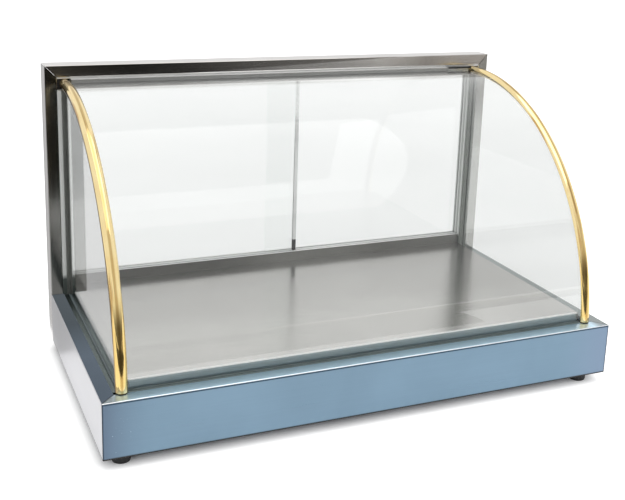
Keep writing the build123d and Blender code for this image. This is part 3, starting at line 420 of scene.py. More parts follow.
def frame_joint(add):
    """The mitred joint of the rear frame: as far out from the opening as up from it."""
    return [(seam(add, (1, 0, -1), post_inner - header_bottom, 1.1 * MM), (0.03, 0.026, 0.022))]


def jamb_foot(add):
    """The jamb's foot is dark, where it mirrors the dark corner of the base."""
    return [(fade(add, "Z", deck_top + 18 * MM, deck_top + 10 * MM), (0.1, 0.12, 0.11))]


def header_reflection_and_joint(add):
    """Painted reflection: a pale wedge in the header's face, which grows to the right and ends before
    the corner. The frame's dark mitre joints lie over it.
    """
    wedge_top = header_bottom + 9.4 * MM
    wedge = slant(add, (0.045, 0, -1), -wedge_top, 2 * MM - wedge_top)
    before_corner = slant(add, (-1, 0, 0), -270 * MM, -180 * MM)
    face = fade(add, "Y", frame_front + 2 * MM, frame_front + 1 * MM)
    shine = product(add, product(add, wedge, before_corner), face)
    return [(shine, (1.0, 0.985, 0.97)), *frame_joint(add)]


def sill_shade(add):
    """The sill's face grows darker to the left."""
    return [(slant(add, (-1, 0, 0), 0.0, 130 * MM), (0.12, 0.12, 0.11))]


def lower_wall_shade(add):
    """Painted shade: the deck's wall grows darker towards its foot."""
    return [(fade(add, "Z", deck_top - 1.2 * MM, deck_top - 5 * MM), (0.17, 0.205, 0.2))]


def lower_strip(add):
    """The lower part of the strip under the header is grey, and only its upper edge keeps its pale colour."""
    return [(fade(add, "Z", header_bottom - 2.4 * MM, header_bottom - 3.0 * MM), (0.45, 0.45, 0.44))]


def deck_shade_and_highlight(add):
    """Painted shade darkens the deck on the right and at the back, and a painted highlight brightens its
    front edge.
    """
    painted_shade_colour = (0.36, 0.35, 0.335)
    return [(product(add, slant(add, (1, 0, 0), 80 * MM, 300 * MM), 0.35), painted_shade_colour),
            (product(add, fade(add, "Y", -120 * MM, 100 * MM), 0.68), painted_shade_colour),
            (fade(add, "Y", deck_front + 3.2 * MM, deck_front + 2.2 * MM), (0.98, 0.98, 0.97))]


# %% Rubbed sheet and bar steel
def rubbed(name, colour, grain, rough=0.3, spread=0.03, bump=0.02, tone=0.02, cloud=0.05, metallic=1.0,
           dirt_and_shade=None, coat=0.0):
    """Metal whose grain runs along the axis with the smallest number in grain. That noise moves the
    colour by tone and the roughness by spread, and broad noise darkens the colour by cloud."""
    material, shader, add = graph(name)
    fine = noise(add, grain, 4.0)
    broad = noise(add, (7.0, 7.0, 7.0), 3.0, 0.4)
    streaks = ramped(add, fine, [(0.3, lifted(colour, -tone)), (0.7, lifted(colour, tone))])
    clouds = ramped(add, broad, [(0.35, (1 - cloud,) * 3), (0.65, (1.0,) * 3)])
    tint = mixed(add, 1.0, streaks, clouds, "MULTIPLY")
    # Pairs lay colours over the metal: dark joints and wear, and also painted shade, highlights and
    # reflections.
    for mask, overlay in dirt_and_shade(add) if dirt_and_shade else ():
        tint = mixed(add, mask, tint, overlay)
    gloss = ranged(add, fine, 0.25, 0.75, rough - spread, rough + spread)
    relief = add("Bump", [("Strength", 0.25), ("Distance", bump * MM), ("Height", fine)])
    fill(shader, [("Base Color", tint), ("Roughness", gloss), ("Normal", relief.outputs["Normal"]),
                  ("Metallic", metallic), ("Coat Weight", coat), ("Coat IOR", 1.8), ("Coat Roughness", 0.02)])
    return material


sheet_x, sheet_y = (3, 700, 700), (700, 3, 700)
tube_x, tube_z = (2, 500, 500), (500, 500, 2)
track_x, track_z = (3, 500, 500), (500, 500, 3)
front_steel = rubbed("front_steel", (0.182, 0.272, 0.354), sheet_x, cloud=0.1, dirt_and_shade=front_wall_wear_and_shade)
# Painted light: the front flange is folded from the front wall's sheet, but is made far paler where it faces
# up.
front_flange_painted_light = rubbed("front_flange_painted_light", (0.62, 0.84, 1.0), sheet_x, 0.45, dirt_and_shade=front_flange_shade_and_joint,
                            coat=1.0)
side_steel = rubbed("side_steel", (0.55, 0.55, 0.57), sheet_y, 0.34, dirt_and_shade=foot_painted_shadow)
# Painted shade: the side flanges are darker copies of the side steel, the left one darker and bluer.
left_flange_painted_dark = rubbed("left_flange_painted_dark", (0.15, 0.205, 0.27), sheet_y, 0.2, cloud=0.2,
                           dirt_and_shade=side_flange_shade_and_joint)
right_flange_painted_grey = rubbed("right_flange_painted_grey", (0.3, 0.33, 0.325), sheet_y, 0.2, cloud=0.2,
                            dirt_and_shade=corner_joint)
deck_steel = rubbed("deck_steel", (0.7, 0.685, 0.665), sheet_x, 0.22, 0.02, bump=0.008, tone=0.015,
                    dirt_and_shade=deck_shade_and_highlight)
# Painted shade: the deck's walls and brim are darker copies of the deck steel, and the left wall a paler one.
deck_wall_painted_shade = rubbed("deck_wall_painted_shade", (0.33, 0.375, 0.365), sheet_x, 0.32, 0.02, dirt_and_shade=lower_wall_shade)
left_deck_wall_painted_light = rubbed("left_deck_wall_painted_light", (0.52, 0.58, 0.6), sheet_y, 0.32, 0.02)
deck_brim_painted_shade = rubbed("deck_brim_painted_shade", (0.17, 0.205, 0.2), sheet_x, 0.34, tone=0.04, cloud=0.2)
# Painted highlights: near white copies for the folds along the front edges of the base and the deck.
front_fold_painted_highlight = rubbed("front_fold_painted_highlight", (0.95, 0.95, 0.95), sheet_x, 0.4)
deck_fold_painted_highlight = rubbed("deck_fold_painted_highlight", (0.95, 0.95, 0.94), sheet_x, 0.4, metallic=0.1)
header_steel = rubbed("header_steel", (0.55, 0.53, 0.51), tube_x, 0.13, tone=0.05, cloud=0.2,
                      dirt_and_shade=header_reflection_and_joint)
post_steel = rubbed("post_steel", (0.6, 0.58, 0.57), tube_z, 0.13, tone=0.05, cloud=0.2, dirt_and_shade=frame_joint)
# Painted reflections: each post is one tube, but its front face is painted grey on the right and dark on the
# left, and its face towards the opening pale.
right_post_front_painted_grey = rubbed("right_post_front_painted_grey", (0.4, 0.4, 0.385), tube_z, 0.16, tone=0.05, cloud=0.2,
                          dirt_and_shade=frame_joint)
left_post_front_painted_dark = rubbed("left_post_front_painted_dark", (0.2, 0.2, 0.19), tube_z, 0.13, tone=0.05, cloud=0.3,
                         dirt_and_shade=frame_joint)
post_inner_face_painted_pale = rubbed("post_inner_face_painted_pale", (0.86, 0.87, 0.85), tube_z, tone=0.03, metallic=0.5)
track_metal = rubbed("track_metal", (0.8, 0.8, 0.79), track_x, 0.36, tone=0.03, metallic=0.6)
sill_metal = rubbed("sill_metal", (0.25, 0.25, 0.235), track_x, tone=0.04, cloud=0.2, dirt_and_shade=sill_shade)
# Painted light: a near white copy for the sill's ribs and channels, so the channels show no shade.
rib_painted_light = rubbed("rib_painted_light", (0.95, 0.95, 0.94), track_x, 0.42, tone=0.03, metallic=0.25)
jamb_metal = rubbed("jamb_metal", (0.93, 0.95, 0.93), track_z, 0.42, tone=0.03, metallic=0.3, dirt_and_shade=jamb_foot)
strip_metal = rubbed("strip_metal", (0.95, 0.95, 0.94), track_x, metallic=0.7, dirt_and_shade=lower_strip)
zinc = rubbed("zinc", (0.55, 0.57, 0.6), (40, 40, 40), 0.42, 0.1, tone=0.06, cloud=0.25)
raw_aluminium = rubbed("raw_aluminium", (0.74, 0.75, 0.77), (60, 300, 60), 0.35, 0.06, tone=0.06)
bolt_steel = rubbed("bolt_steel", (0.7, 0.7, 0.7), (200, 200, 200), 0.22, 0.06, tone=0.06)
print("metals ready")

# %% [markdown]
# Brass tube is drawn, polished and left bare, so it goes brown along the draw lines and where
# hands touch it. Noise stretched along the case's depth and height darkens it in thin lines, and
# broader noise moves the colour and the shine together. Tarnish and painted reflection darken its
# foot, painted reflection lays a band along it and a dark edge towards the case, and a painted
# shadow rings it where it meets the flange.


# %% Brass
def brass_tarnish_and_reflection(name):
    """Polished brass with thin brown lines along the tube and a few dull patches. Its foot is darker,
    partly from tarnish and partly from painted reflection. Painted reflection also lays a brown band
    where X of the normal is near 0 and a dark edge on the side towards the case, and a painted
    contact shadow blackens it where it stands on the flange."""
    material, shader, add = graph(name)
    white, left_dark, right_dark = (1.0, 1.0, 1.0), (-0.975, 0.1, -0.2), (-0.74, 0.58, -0.34)
    lines = noise(add, (300, 9, 9), 3.0, 0.2)
    patches = noise(add, (30, 22, 22), 3.0, 0.6)
    metal = ramped(add, patches, [(0.3, (0.88, 0.68, 0.33)), (0.7, (0.94, 0.78, 0.43))])
    overlay = ramped(add, lines, [(0.32, (0.5, 0.34, 0.16)), (0.42, white)])
    tint = mixed(add, 0.7, metal, overlay, "MULTIPLY")
    # Tarnish and painted reflection: the lower tube is darker, where it mirrors the dark ground.
    foot = product(add, fade(add, "Z", base_top + 135 * MM, base_top + 80 * MM),
                   fade(add, "Z", base_top + 3 * MM, base_top + 12 * MM))
    tint = mixed(add, foot, tint, (0.84, 0.76, 0.55), "MULTIPLY")
    # Painted reflection: a brown band and a dark edge, set by the normal.
    normal = add("TexCoord").outputs["Normal"]
    ways = [(0, on_right(add)), (4, left_dark), (5, right_dark)]
    dark_way = add("Mix", ways, data_type="VECTOR").outputs[1]
    edge = ranged(add, vector(add, "DOT_PRODUCT", normal, dark_way), 0.78, 0.93, high=0.9)
    turn = ranged(add, add("SeparateXYZ", [(0, normal)]).outputs["X"], -1.0, 1.0)
    band = [(0.3, white), (0.38, (0.66, 0.6, 0.48)), (0.5, (0.62, 0.55, 0.43)), (0.62, white)]
    tint = mixed(add, 1.0, tint, ramped(add, turn, band), "MULTIPLY")
    tint = mixed(add, edge, tint, (0.16, 0.08, 0.02))
    # Painted contact shadow: near black where the tube stands on the flange.
    on_flange = fade(add, "Z", base_top + 2.0 * MM, base_top + 1.2 * MM)
    tint = mixed(add, on_flange, tint, (0.02, 0.012, 0.004))
    relief = add("Bump", [("Strength", 0.2), ("Distance", 0.03 * MM), ("Height", lines)])
    fill(shader, [("Base Color", tint), ("Roughness", ranged(add, patches, 0.0, 1.0, 0.04, 0.16)),
                  ("Normal", relief.outputs["Normal"]), ("Metallic", 0.88)])
    return material


brass = brass_tarnish_and_reflection("brass")
print("brass ready")

# %% [markdown]
# Clear float glass is nearly invisible face on, and green-grey at its edge, because there the
# light has come a long way through it. So the narrow faces get a shader of their own. A glass
# shader casts a full shadow, so rays from lamps get a transparent one in its place, and the deck
# behind the pane stays lit.


# %% Glass
def float_glass(name, colour, rough, weight=1.0, smudge=0.0, bend=1.45):
    """Glass that lets lamps through, with faint smears that move its roughness."""
    material, shader, add = graph(name)
    wipe = noise(add, (9, 9, 16), 4.0, 0.8)
    fill(shader, [("Base Color", (*colour, 1.0)), ("IOR", bend), ("Transmission Weight", weight),
                  ("Roughness", ranged(add, wipe, 0.5, 0.8, rough, rough + smudge))])
    veil = add("BsdfTransparent", [("Color", (*lifted(colour, -0.03), 1.0))])
    show(material, add("LightPath").outputs["Is Shadow Ray"], shader, veil)
    return material


pane_glass = float_glass("pane_glass", (0.985, 0.995, 0.99), 0.0, smudge=0.012)
edge_glass = float_glass("edge_glass", (0.55, 0.7, 0.66), 0.1, 0.8)
door_edge = float_glass("door_edge", (0.97, 0.99, 0.98), 0.0, bend=1.0)
sealant = float_glass("sealant", (0.9, 0.9, 0.87), 0.25, 0.8)
print("glass ready")

# %% [markdown]
# Rubber and moulded plastic are dull, and a fine grain in the mould breaks up their highlight.
# Foam has a coarser grain. All three are one function: a base colour that drifts a little, and
# a bump from noise at the grain's real size.


# %% Rubber, plastic and foam
def moulded(name, colour, rough, size=1800.0, bump=0.05, coat=0.0, right=None, clear=None):
    """A dull moulded surface: even colour with slow drift, and fine grain as bump. right is the colour
    of the copy on the right, painted paler for the grey seal and darker for the side seat. clear gives
    two heights, between which it turns nearly clear."""
    material, shader, add = graph(name)
    grain = noise(add, (size, size, size), 3.0)
    drift = noise(add, (14.0, 14.0, 14.0), 2.0)
    tint = ramped(add, drift, [(0.35, lifted(colour, -0.12)), (0.65, lifted(colour, 0.12))])
    if right:
        tint = mixed(add, on_right(add), tint, right)
    gloss = ranged(add, drift, 0.0, 1.0, rough - 0.06, rough + 0.06)
    relief = add("Bump", [("Strength", 0.4), ("Distance", bump * MM), ("Height", grain)])
    fill(shader, [("Base Color", tint), ("Roughness", gloss), ("Normal", relief.outputs["Normal"]),
                  ("Coat Weight", coat)])
    if clear:
        show(material, product(add, fade(add, "Z", *clear), 0.85), shader, add("BsdfTransparent"))
    return material


trim_clear = (310 * MM, 380 * MM)
black_rubber = moulded("black_rubber", (0.009, 0.009, 0.01), 0.6)
# Painted light: the seal on the right is a paler copy.
grey_rubber = moulded("grey_rubber", (0.1, 0.105, 0.096), 0.5, right=(0.2, 0.22, 0.2))
seat_rubber = moulded("seat_rubber", (0.19, 0.225, 0.215), 0.45)
# Painted shade: the seat on the right is a near black copy.
side_seat_rubber = moulded("side_seat_rubber", (0.14, 0.17, 0.18), 0.45, right=(0.02, 0.022, 0.022))
pale_plastic = moulded("pale_plastic", (0.9, 0.905, 0.9), 0.3, bump=0.01, coat=0.2, clear=trim_clear)
black_plastic = moulded("black_plastic", (0.025, 0.025, 0.027), 0.42)
gloss_plastic = moulded("gloss_plastic", (0.02, 0.02, 0.022), 0.22, bump=0.01, coat=0.3)
white_nylon = moulded("white_nylon", (0.74, 0.74, 0.7), 0.4)
white_ceramic = moulded("white_ceramic", (0.8, 0.8, 0.77), 0.5, 900.0)
blue_foam = moulded("blue_foam", (0.55, 0.65, 0.75), 0.85, 500.0, 0.3)
white_ink = moulded("white_ink", (0.8, 0.8, 0.78), 0.5)
print("moulded finishes ready")

# %% [markdown]
# The curved pane is an outline of two arcs, carried from side to side. Its arrises are ground,
# so the outline is drawn in by their width at both ends. The foot is cut level.


# %% Curved front glass
arris = 0.4 * MM


def arc_points(radius, level, steps=120):
    """Points (y, z) on the curve's circle, from its top down to the level given."""
    lowest = math.asin((level - curve_z) / radius)
    angle = np.linspace(math.pi / 2, lowest, steps)
    return np.stack([curve_y - radius * np.cos(angle), curve_z + radius * np.sin(angle)], -1)


def curved_outline(draw):
    """Outline of the curved pane, drawn in by a length all round."""
    outside = arc_points(curve_radius + glass_half - draw, glass_low[2] + draw)
    inside = arc_points(curve_radius - glass_half + draw, glass_low[2] + draw)
    rear = glass_high[1] - draw
    return np.concatenate([[(rear, curve_top + glass_half - draw)], outside, inside[::-1],
                           [(rear, curve_top - glass_half + draw)]])


def ground_pane(outline, low_x, high_x):
    """Carries an outline from low_x to high_x, drawn in by the arris at both ends."""
    rings = []
    for draw, x in ((arris, low_x), (0, low_x + arris), (0, high_x - arris), (arris, high_x)):
        loop = outline(draw)
        rings.append(np.column_stack([np.full(len(loop), x), loop]))
    return skin(rings)


def curved_edges(centres, normals):
    """Faces at the ends, at the foot and at the rear of the pane."""
    at_foot = centres[:, 2] < glass_low[2] + arris
    return (np.abs(normals[:, 0]) > 0.3) | at_foot | (centres[:, 1] > glass_high[1] - arris)


piece("curved_glass", [ground_pane(curved_outline, glass_low[0], glass_high[0])], [pane_glass, edge_glass],
      ["front_glass"], edge_faces=curved_edges, sharp=25)


# %% Side glasses
def side_outline(draw):
    """Outline of a side pane: the arc inside the curved pane, and straight rear and foot."""
    radius = curve_radius - glass_half - hair - draw
    rear, foot = flank_high[1] - draw, flank_low[2] + draw
    return np.concatenate([[(rear, curve_z + radius)], arc_points(radius, foot), [(rear, foot)]])


for name, side in SIDES:
    middle = side * glass_x
    piece(f"{name}_pane", [ground_pane(side_outline, middle - glass_half, middle + glass_half)],
          [pane_glass, edge_glass], [f"{name}_side_glass"],
          edge_faces=lambda centres, normals: np.abs(normals[:, 0]) < 0.9, sharp=25)

# %% [markdown]
# Each brass tube is slit along its length so that it slips over the corner of two panes. Its
# section is a thick C. The C follows the curve with its opening towards the inside of the case,
# and its foot is cut level on the flange: each point of the section stops at its own angle.


# %% Brass tubes and the beads inside them
tube_radius, tube_wall = tube_high[2] - curve_top, 1.0 * MM
bead_slack, bead_inner, bead_gap, bead_tail = 0.05 * MM, 1.2 * MM, 0.1 * MM, 15 * MM


def corner_section(outer, inner, gap):
    """Outline of a C of two arcs, open over the quarter that the glass fills."""
    def arc(radius, way):
        start = math.asin(gap / radius)
        angle = np.linspace(start, 1.5 * math.pi - start, 40)[::way]
        return np.stack([radius * np.cos(angle), radius * np.sin(angle)], -1)
    return np.concatenate([arc(outer, 1), arc(inner, -1)])


def along_corner(section, side, rear):
    """Carries a section of (inward, outward) lengths down the corner curve, foot cut level."""
    inward, outward = section[:, 0], section[:, 1]
    radius = curve_radius + outward
    lowest = np.arcsin((base_top - curve_z) / radius)
    share = np.linspace(0, 1, 110)[:, None]
    angle = math.pi / 2 + (lowest - math.pi / 2) * share
    x = np.broadcast_to(side * (glass_x - inward), angle.shape)
    bend = np.stack([x, curve_y - radius * np.cos(angle), curve_z + radius * np.sin(angle)], -1)
    tail = bend[:1].copy()
    tail[:, :, 1] = rear
    return skin(np.concatenate([tail, bend]))


section = corner_section(tube_radius, tube_radius - tube_wall, glass_half + hair)
for name, side in SIDES:
    piece(f"{name}_tube", [along_corner(section, side, tube_high[1])], [brass],
          [f"{name}_brass_tube"], sharp=50)
bead = corner_section(tube_radius - tube_wall - bead_slack, glass_half + bead_inner, glass_half + bead_gap)
piece("clear_beads", [along_corner(bead, side, curve_y + bead_tail) for side in (-1, 1)], [sealant],
      ["sealant_beads"], sharp=50)

# %% [markdown]
# The rear frame is rectangular tube with its corners mitred and welded. The tube's corner radius
# is small, but it makes the bright line along each bar. In the mitre each point of the outline
# runs to its own length, and a hair of a gap shows the joint.

# %% Rear frame
bar_radius, bar_wall = 1.4 * MM, 1.5 * MM
bar_outline = eased(rectangle(frame_front, back, header_bottom, frame_top), bar_radius, 6)
header_reach = post_inner + (bar_outline[:, 1] - header_bottom) - hair
piece("header_bar", [carried(bar_outline, "yzx", -header_reach, header_reach)], [header_steel],
      ["header"])


def post_painted_faces(centres, normals):
    """Picks faces for painted copies of the post steel: 1 for the face in front, 2 for the face towards
    the opening, and 0 for the rest.
    """
    inward = np.sign(centres[:, 0]) * normals[:, 0] < -0.7
    return np.where(normals[:, 1] < -0.7, 1, np.where(inward, 2, 0))


# Painted reflection: the post's front face is dark on the left and grey on the right, the face towards the
# opening pale.
for (name, side), post_front_painted_copy in zip(SIDES, (left_post_front_painted_dark, right_post_front_painted_grey)):
    left, right = sorted((side * post_inner, side * half_width))
    outside = eased(rectangle(left, right, frame_front, back), bar_radius, 6)
    middle = np.array([left + right, frame_front + back]) / 2
    shrink = 1 - 2 * bar_wall / np.array([right - left, back - frame_front])
    inside = middle + (outside - middle) * shrink
    loops = []
    for loop, top in ((outside, False), (outside, True), (inside, True), (inside, False), (outside, False)):
        mitre = header_bottom + (np.abs(loop[:, 0]) - post_inner) - hair
        loops.append(np.column_stack([loop, mitre if top else np.full(len(loop), base_bottom)]))
    piece(f"{name}_post_bar", [skin(loops, capped=False)], [post_steel, post_front_painted_copy, post_inner_face_painted_pale],
          [f"{name}_post"], edge_faces=post_painted_faces)

# %% [markdown]
# The door tracks are one extrusion: a web with three ribs, which leave two channels. It lines
# the frame on three sides and lies on the deck. The rib nearest to the glass stops short at both
# ends of the head, where the ends of the brass tubes go in. Black blocks fill the gaps there as
# painted shade, for the dark openings round the tube ends.


# %% Door tracks
web, rib, pitch, track_radius = 2 * MM, 3 * MM, 10 * MM, 0.3 * MM
shade_block_gap, shade_block_fall, shade_block_front, shade_block_back = 0.5 * MM, 4.6 * MM, 4.5 * MM, 6.5 * MM


def ribbed(lip, ribs):
    """Outline of the track: a web at the bottom and ribs that stand on it, as (depth, height)."""
    points = [(0, 0), (2 * pitch + rib, 0)]
    for place in ribs[::-1]:
        points += [(place * pitch + rib, lip), (place * pitch, lip)]
        if place:
            points += [(place * pitch, web), ((place - 1) * pitch + rib, web)]
    if 0 not in ribs:
        points = points[:-1] + [(0, web)]
    return eased(points, track_radius, 3)


lip = head_track_high[2] - head_track_low[2]
tube_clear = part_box("front_glass_seat")[1][0]
head_rib = eased(rectangle(0, rib, web / 2, lip), track_radius, 3)
runs = [(ribbed(lip, [1, 2]), post_inner), (head_rib, tube_clear)]
rails = [carried((frame_front, header_bottom) + shape * (1, -1), "yzx", -run, run) for shape, run in runs]
piece("head_rail", rails, [track_metal], ["head_track"])
seal_low, seal_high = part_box("head_seal")
# Painted shade: black blocks stand in the dark openings at both ends of the head.
shade_block_width = post_inner - tube_clear - 2 * shade_block_gap
shade_blocks = [rounded_box((low_x, frame_front + shade_block_front, header_bottom - lip + 2 * shade_block_gap),
                       (low_x + shade_block_width, frame_front + shade_block_back, header_bottom - hair))
           for low_x in (tube_clear + shade_block_gap, shade_block_gap - post_inner)]
shade_blocks.append(rounded_box((seal_high[0] + shade_block_gap, seal_low[1], header_bottom - shade_block_fall),
                           (tube_clear, seal_high[1], seal_high[2])))
piece("head_gap_shade", shade_blocks, [black_rubber])
sill = ribbed(sill_high[2] - sill_low[2], [0, 1, 2]) + (frame_front, sill_low[2])
# The sill's front face keeps the sill metal, and all its other faces get the painted light.
piece("sill_rail", [carried(sill, "yzx", sill_low[0], sill_high[0])], [sill_metal, rib_painted_light],
      ["sill_track"],
      edge_faces=lambda centres, normals: (normals[:, 1] > -0.7) | (centres[:, 1] > sill_low[1] + 1 * MM))
stile = ribbed(lip, [0, 1, 2])
for name, side in SIDES:
    upright = (side * post_inner, frame_front) + stile[:, ::-1] * (-side, 1)
    piece(f"{name}_stile", [carried(upright, "xyz", jamb_low[2], jamb_high[2])], [jamb_metal],
          [f"{name}_jamb"])

# %% [markdown]
# Each door is a plain pane with ground edges. The left one carries a clear channel on its
# meeting edge, with a dark stop at its foot.

# %% Sliding doors
for name, side in SIDES:
    low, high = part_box(f"{name}_door_glass")
    piece(f"{name}_door_pane", [rounded_box(low, high, 0.5 * MM, "xzy")], [pane_glass, door_edge],
          [f"{name}_door_glass"], f"{name}_door",
          edge_faces=lambda centres, normals: np.abs(normals[:, 1]) < 0.9, sharp=25)


def channel(node, wall=1 * MM, radius=0.25 * MM):
    """A U channel over the pane's edge, as an outline carried upwards."""
    low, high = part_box(node)
    outline = [(low[0], low[1]), (high[0], low[1]), (high[0], high[1]), (low[0], high[1]),
               (low[0], high[1] - wall), (high[0] - wall, high[1] - wall), (high[0] - wall, low[1] + wall),
               (low[0], low[1] + wall)]
    return carried(eased(outline, radius, 3), "xyz", low[2], high[2])


piece("meeting_channel", [channel("meeting_trim")], [pale_plastic], ["meeting_trim"],
      "left_door")
piece("meeting_buffer", [channel("meeting_stop")], [black_rubber], ["meeting_stop"],
      "left_door")

# %% [markdown]
# The base is folded from one sheet on each side: a wall, a flange turned in at the top and a
# return at the bottom. A fold in steel of this gauge has a radius near the sheet's thickness.
# At the corners the sheets meet in a mitre, so the run of each point depends on how far in it is.

# %% Base panels
return_top, return_in = base_bottom + 2 * sheet, 15 * MM + sheet
tab_top = base_top - 2.8 * MM


def folded(turn_in):
    """Outline of the folded sheet as (distance in from the face, height), flange at the top."""
    outline = [(turn_in, base_top - sheet), (turn_in, base_top), (0, base_top), (0, base_bottom),
               (sheet, base_bottom), (sheet, return_top - sheet), (return_in, return_top - sheet),
               (return_in, return_top), (sheet, return_top), (sheet, base_top - sheet)]
    bend = np.array([0.2, 0.3, 1.3, 0.8, 0.3, 0.2, 0.2, 0.2, 0.3, 0.5]) * MM
    return eased(outline, bend, 7)


def on_flange(centres, normals):
    """Picks faces for painted copies of the sheet: 1 for faces that look up, which take the painted
    flange colour, 2 for the fold along the front edge, a painted highlight on the front panel, and
    0 for the rest.
    """
    fold_faces = (normals[:, 1] < -0.15) & (normals[:, 2] > 0.15)
    return (normals[:, 2] > 0.8) * 1 + fold_faces * (normals[:, 2] <= 0.8) * 2


fold = folded(front_flange)
reach_x = half_width - fold[:, 0] * side_flange / front_flange - hair
piece("front_panel", [carried(fold + (front, 0), "yzx", -reach_x, reach_x)],
      [front_steel, front_flange_painted_light, front_fold_painted_highlight], ["base_front_panel"], edge_faces=on_flange)
fold = folded(side_flange)
start_y = front + fold[:, 0] * front_flange / side_flange + hair
# Painted shade: each side's flange is its own copy, darker and bluer on the left, grey on the right.
for (name, side), flange_painted_copy in zip(SIDES, (left_flange_painted_dark, right_flange_painted_grey)):
    side_fold = (side * half_width, 0) + fold * (-side, 1)
    left, right = sorted((side * (half_width - sheet), side * (post_inner + hair)))
    tab_shape = rounded_box((left, frame_front - sheet, base_bottom + sheet), (right, frame_front, tab_top))
    piece(f"{name}_panel", [carried(side_fold, "xzy", start_y, frame_front), tab_shape],
          [side_steel, flange_painted_copy, side_steel], [f"{name}_base_panel"], edge_faces=on_flange)

# %% [markdown]
# The deck is a shallow upturned tray. Its walls stand inside the flanges, and the fold along its
# top edge rolls the light and is painted brighter still, so it shows as one bright line. The skin
# starts in the middle of the underside, goes down the inside of the wall, round its foot, up the
# outside, over the fold and back to the middle. A brim at the foot of the walls lies under the
# flanges and closes the gap beside them. Walls and brim are painted in shade, the left wall paler.


# %% Deck
fold_radius, corner_radius, jamb_gap = 1.8 * MM, 3 * MM, 0.5 * MM
brim_top, brim_overlap = base_top - sheet, 0.1 * MM
brim_inner, brim_outer, brim_front = half_width - 40 * MM, half_width - 14 * MM, front + 15 * MM
brim_back = frame_front + 23 * MM


def plan(draw):
    """Rounded rectangle of the deck, drawn in by a length."""
    wall_x = clear_half - jamb_gap - draw
    corners = rectangle(-wall_x, wall_x, deck_front + draw, deck_high[1] - draw)
    return eased(corners, max(corner_radius - draw, 0.4 * MM), 9)


def brim(low_x, high_x, start, stop):
    """A strip of the brim, between its left and right end and from front to back."""
    return rounded_box((low_x, start, deck_low[2]), (high_x, stop, brim_top))


def deck_painted_faces(centres, normals):
    """Picks faces for the deck's painted copies: 1 for the fold along the front edge, painted as a
    highlight, 2 for the walls and 3 for the brim, painted in shade, 4 for the wall on the left,
    painted paler, and 0 for the rest."""
    fold_faces = (normals[:, 1] < -0.2) & (normals[:, 2] > 0.2)
    walls = (np.abs(normals[:, 2]) < 0.2) & (centres[:, 2] > brim_top)
    left_wall = walls & (normals[:, 0] < -0.5)
    rest = np.where(centres[:, 2] < brim_top + 0.1 * MM, 3, 0)
    return np.where(fold_faces, 1, np.where(left_wall, 4, np.where(walls, 2, rest)))


angles = np.linspace(0, math.pi / 2, 7)
levels = [(sheet, deck_top - sheet), (sheet, deck_low[2]), (0, deck_low[2])]
levels += [(fold_radius * (1 - math.cos(a)), deck_top - fold_radius * (1 - math.sin(a))) for a in angles]
tray = skin([np.column_stack([plan(draw), np.full(len(plan(draw)), level)]) for draw, level in levels])
brims = [brim(-brim_outer, -brim_inner, brim_front, frame_front - hair),
         brim(brim_inner, brim_outer, brim_front, frame_front - hair),
         brim(-brim_outer, brim_outer, brim_front, deck_front + brim_overlap),
         brim(hair - post_inner, -brim_inner - hair, frame_front - hair, brim_back),
         brim(brim_inner + hair, post_inner - hair, frame_front - hair, brim_back)]
piece("cold_deck", [tray] + brims, [deck_steel, deck_fold_painted_highlight, deck_wall_painted_shade, deck_brim_painted_shade, left_deck_wall_painted_light],
      ["deck_plate"], edge_faces=deck_painted_faces)

# %% [markdown]
# Feet and knob are lathe work: an outline of radius and height, spun about a line. The foot is
# moulded with a lip at its top and a recess for its screw.

# %% Feet
foot_radius = 15 * MM
foot_low, foot_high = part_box("feet")
foot_outline = np.array([(2.1, 10), (5.5, 10), (5.5, 0.7), (6.1, 0), (11.4, 0), (12.3, 0.5), (12.7, 1.5),
                         (13.9, 11.5), (14.1, 12.2), (14.9, 12.6), (15, 13.2), (15, 17.4), (14.6, 18),
                         (2.1, 18), (2.1, 10)]) * MM
feet_shapes = []
for x in (foot_low[0] + foot_radius, foot_high[0] - foot_radius):
    for y in (foot_low[1] + foot_radius, foot_high[1] - foot_radius):
        points, faces = turned(foot_outline, (x, y, 0.0), (0, 0, 1))
        feet_shapes.append((points, faces[:-2]))
piece("rubber_feet", feet_shapes, [black_rubber], ["feet"])

# %% [markdown]
# The knob of the thermostat is moulded with flutes. The flutes are a wave round the rim: the
# radius drops where a high power of a cosine is near one, so the ribs stay wide and the flutes
# narrow. A white line marks its setting.

# %% Knob
flutes, knob_depth = 24, 15 * MM
knob_low, knob_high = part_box("thermostat_knob")
knob_x, face_y, knob_z = (knob_low[0] + knob_high[0]) / 2, knob_high[1], (knob_low[2] + knob_high[2]) / 2
rim = np.array([(15, 0), (16.2, 0.5), (16.6, 1.5), (16, 13), (15.4, 14.2), (14.2, 14.85), (12, 15)]) * MM
angle = np.linspace(0, 2 * math.pi, 10 * flutes, endpoint=False)
flute = ((1 + np.cos(flutes * angle)) / 2) ** 3
depth = np.array([0.3, 0.8, 0.8, 0.8, 0.7, 0.2, 0.0])[:, None] * MM
radius = rim[:, :1] - depth * flute
level = np.broadcast_to(face_y - knob_depth + rim[:, 1:], radius.shape)
rings = np.stack([knob_x + radius * np.cos(angle), level, knob_z + radius * np.sin(angle)], -1)
shaft = turned(np.array([(3, -10.9), (3, 0.5)]) * MM, (knob_x, face_y - knob_depth, knob_z), (0, 1, 0), 32)
piece("fluted_knob", [skin(rings), shaft], [gloss_plastic], ["thermostat_knob"], "knob")
mark = rounded_box((knob_x - 0.7 * MM, face_y - 0.2 * MM, knob_z + 4 * MM),
                   (knob_x + 0.7 * MM, face_y, knob_z + 13 * MM), 0.1 * MM)
piece("knob_mark", [mark], [white_ink], (), "knob")

# %% [markdown]
# The solids that keep their own shape now get their finish.

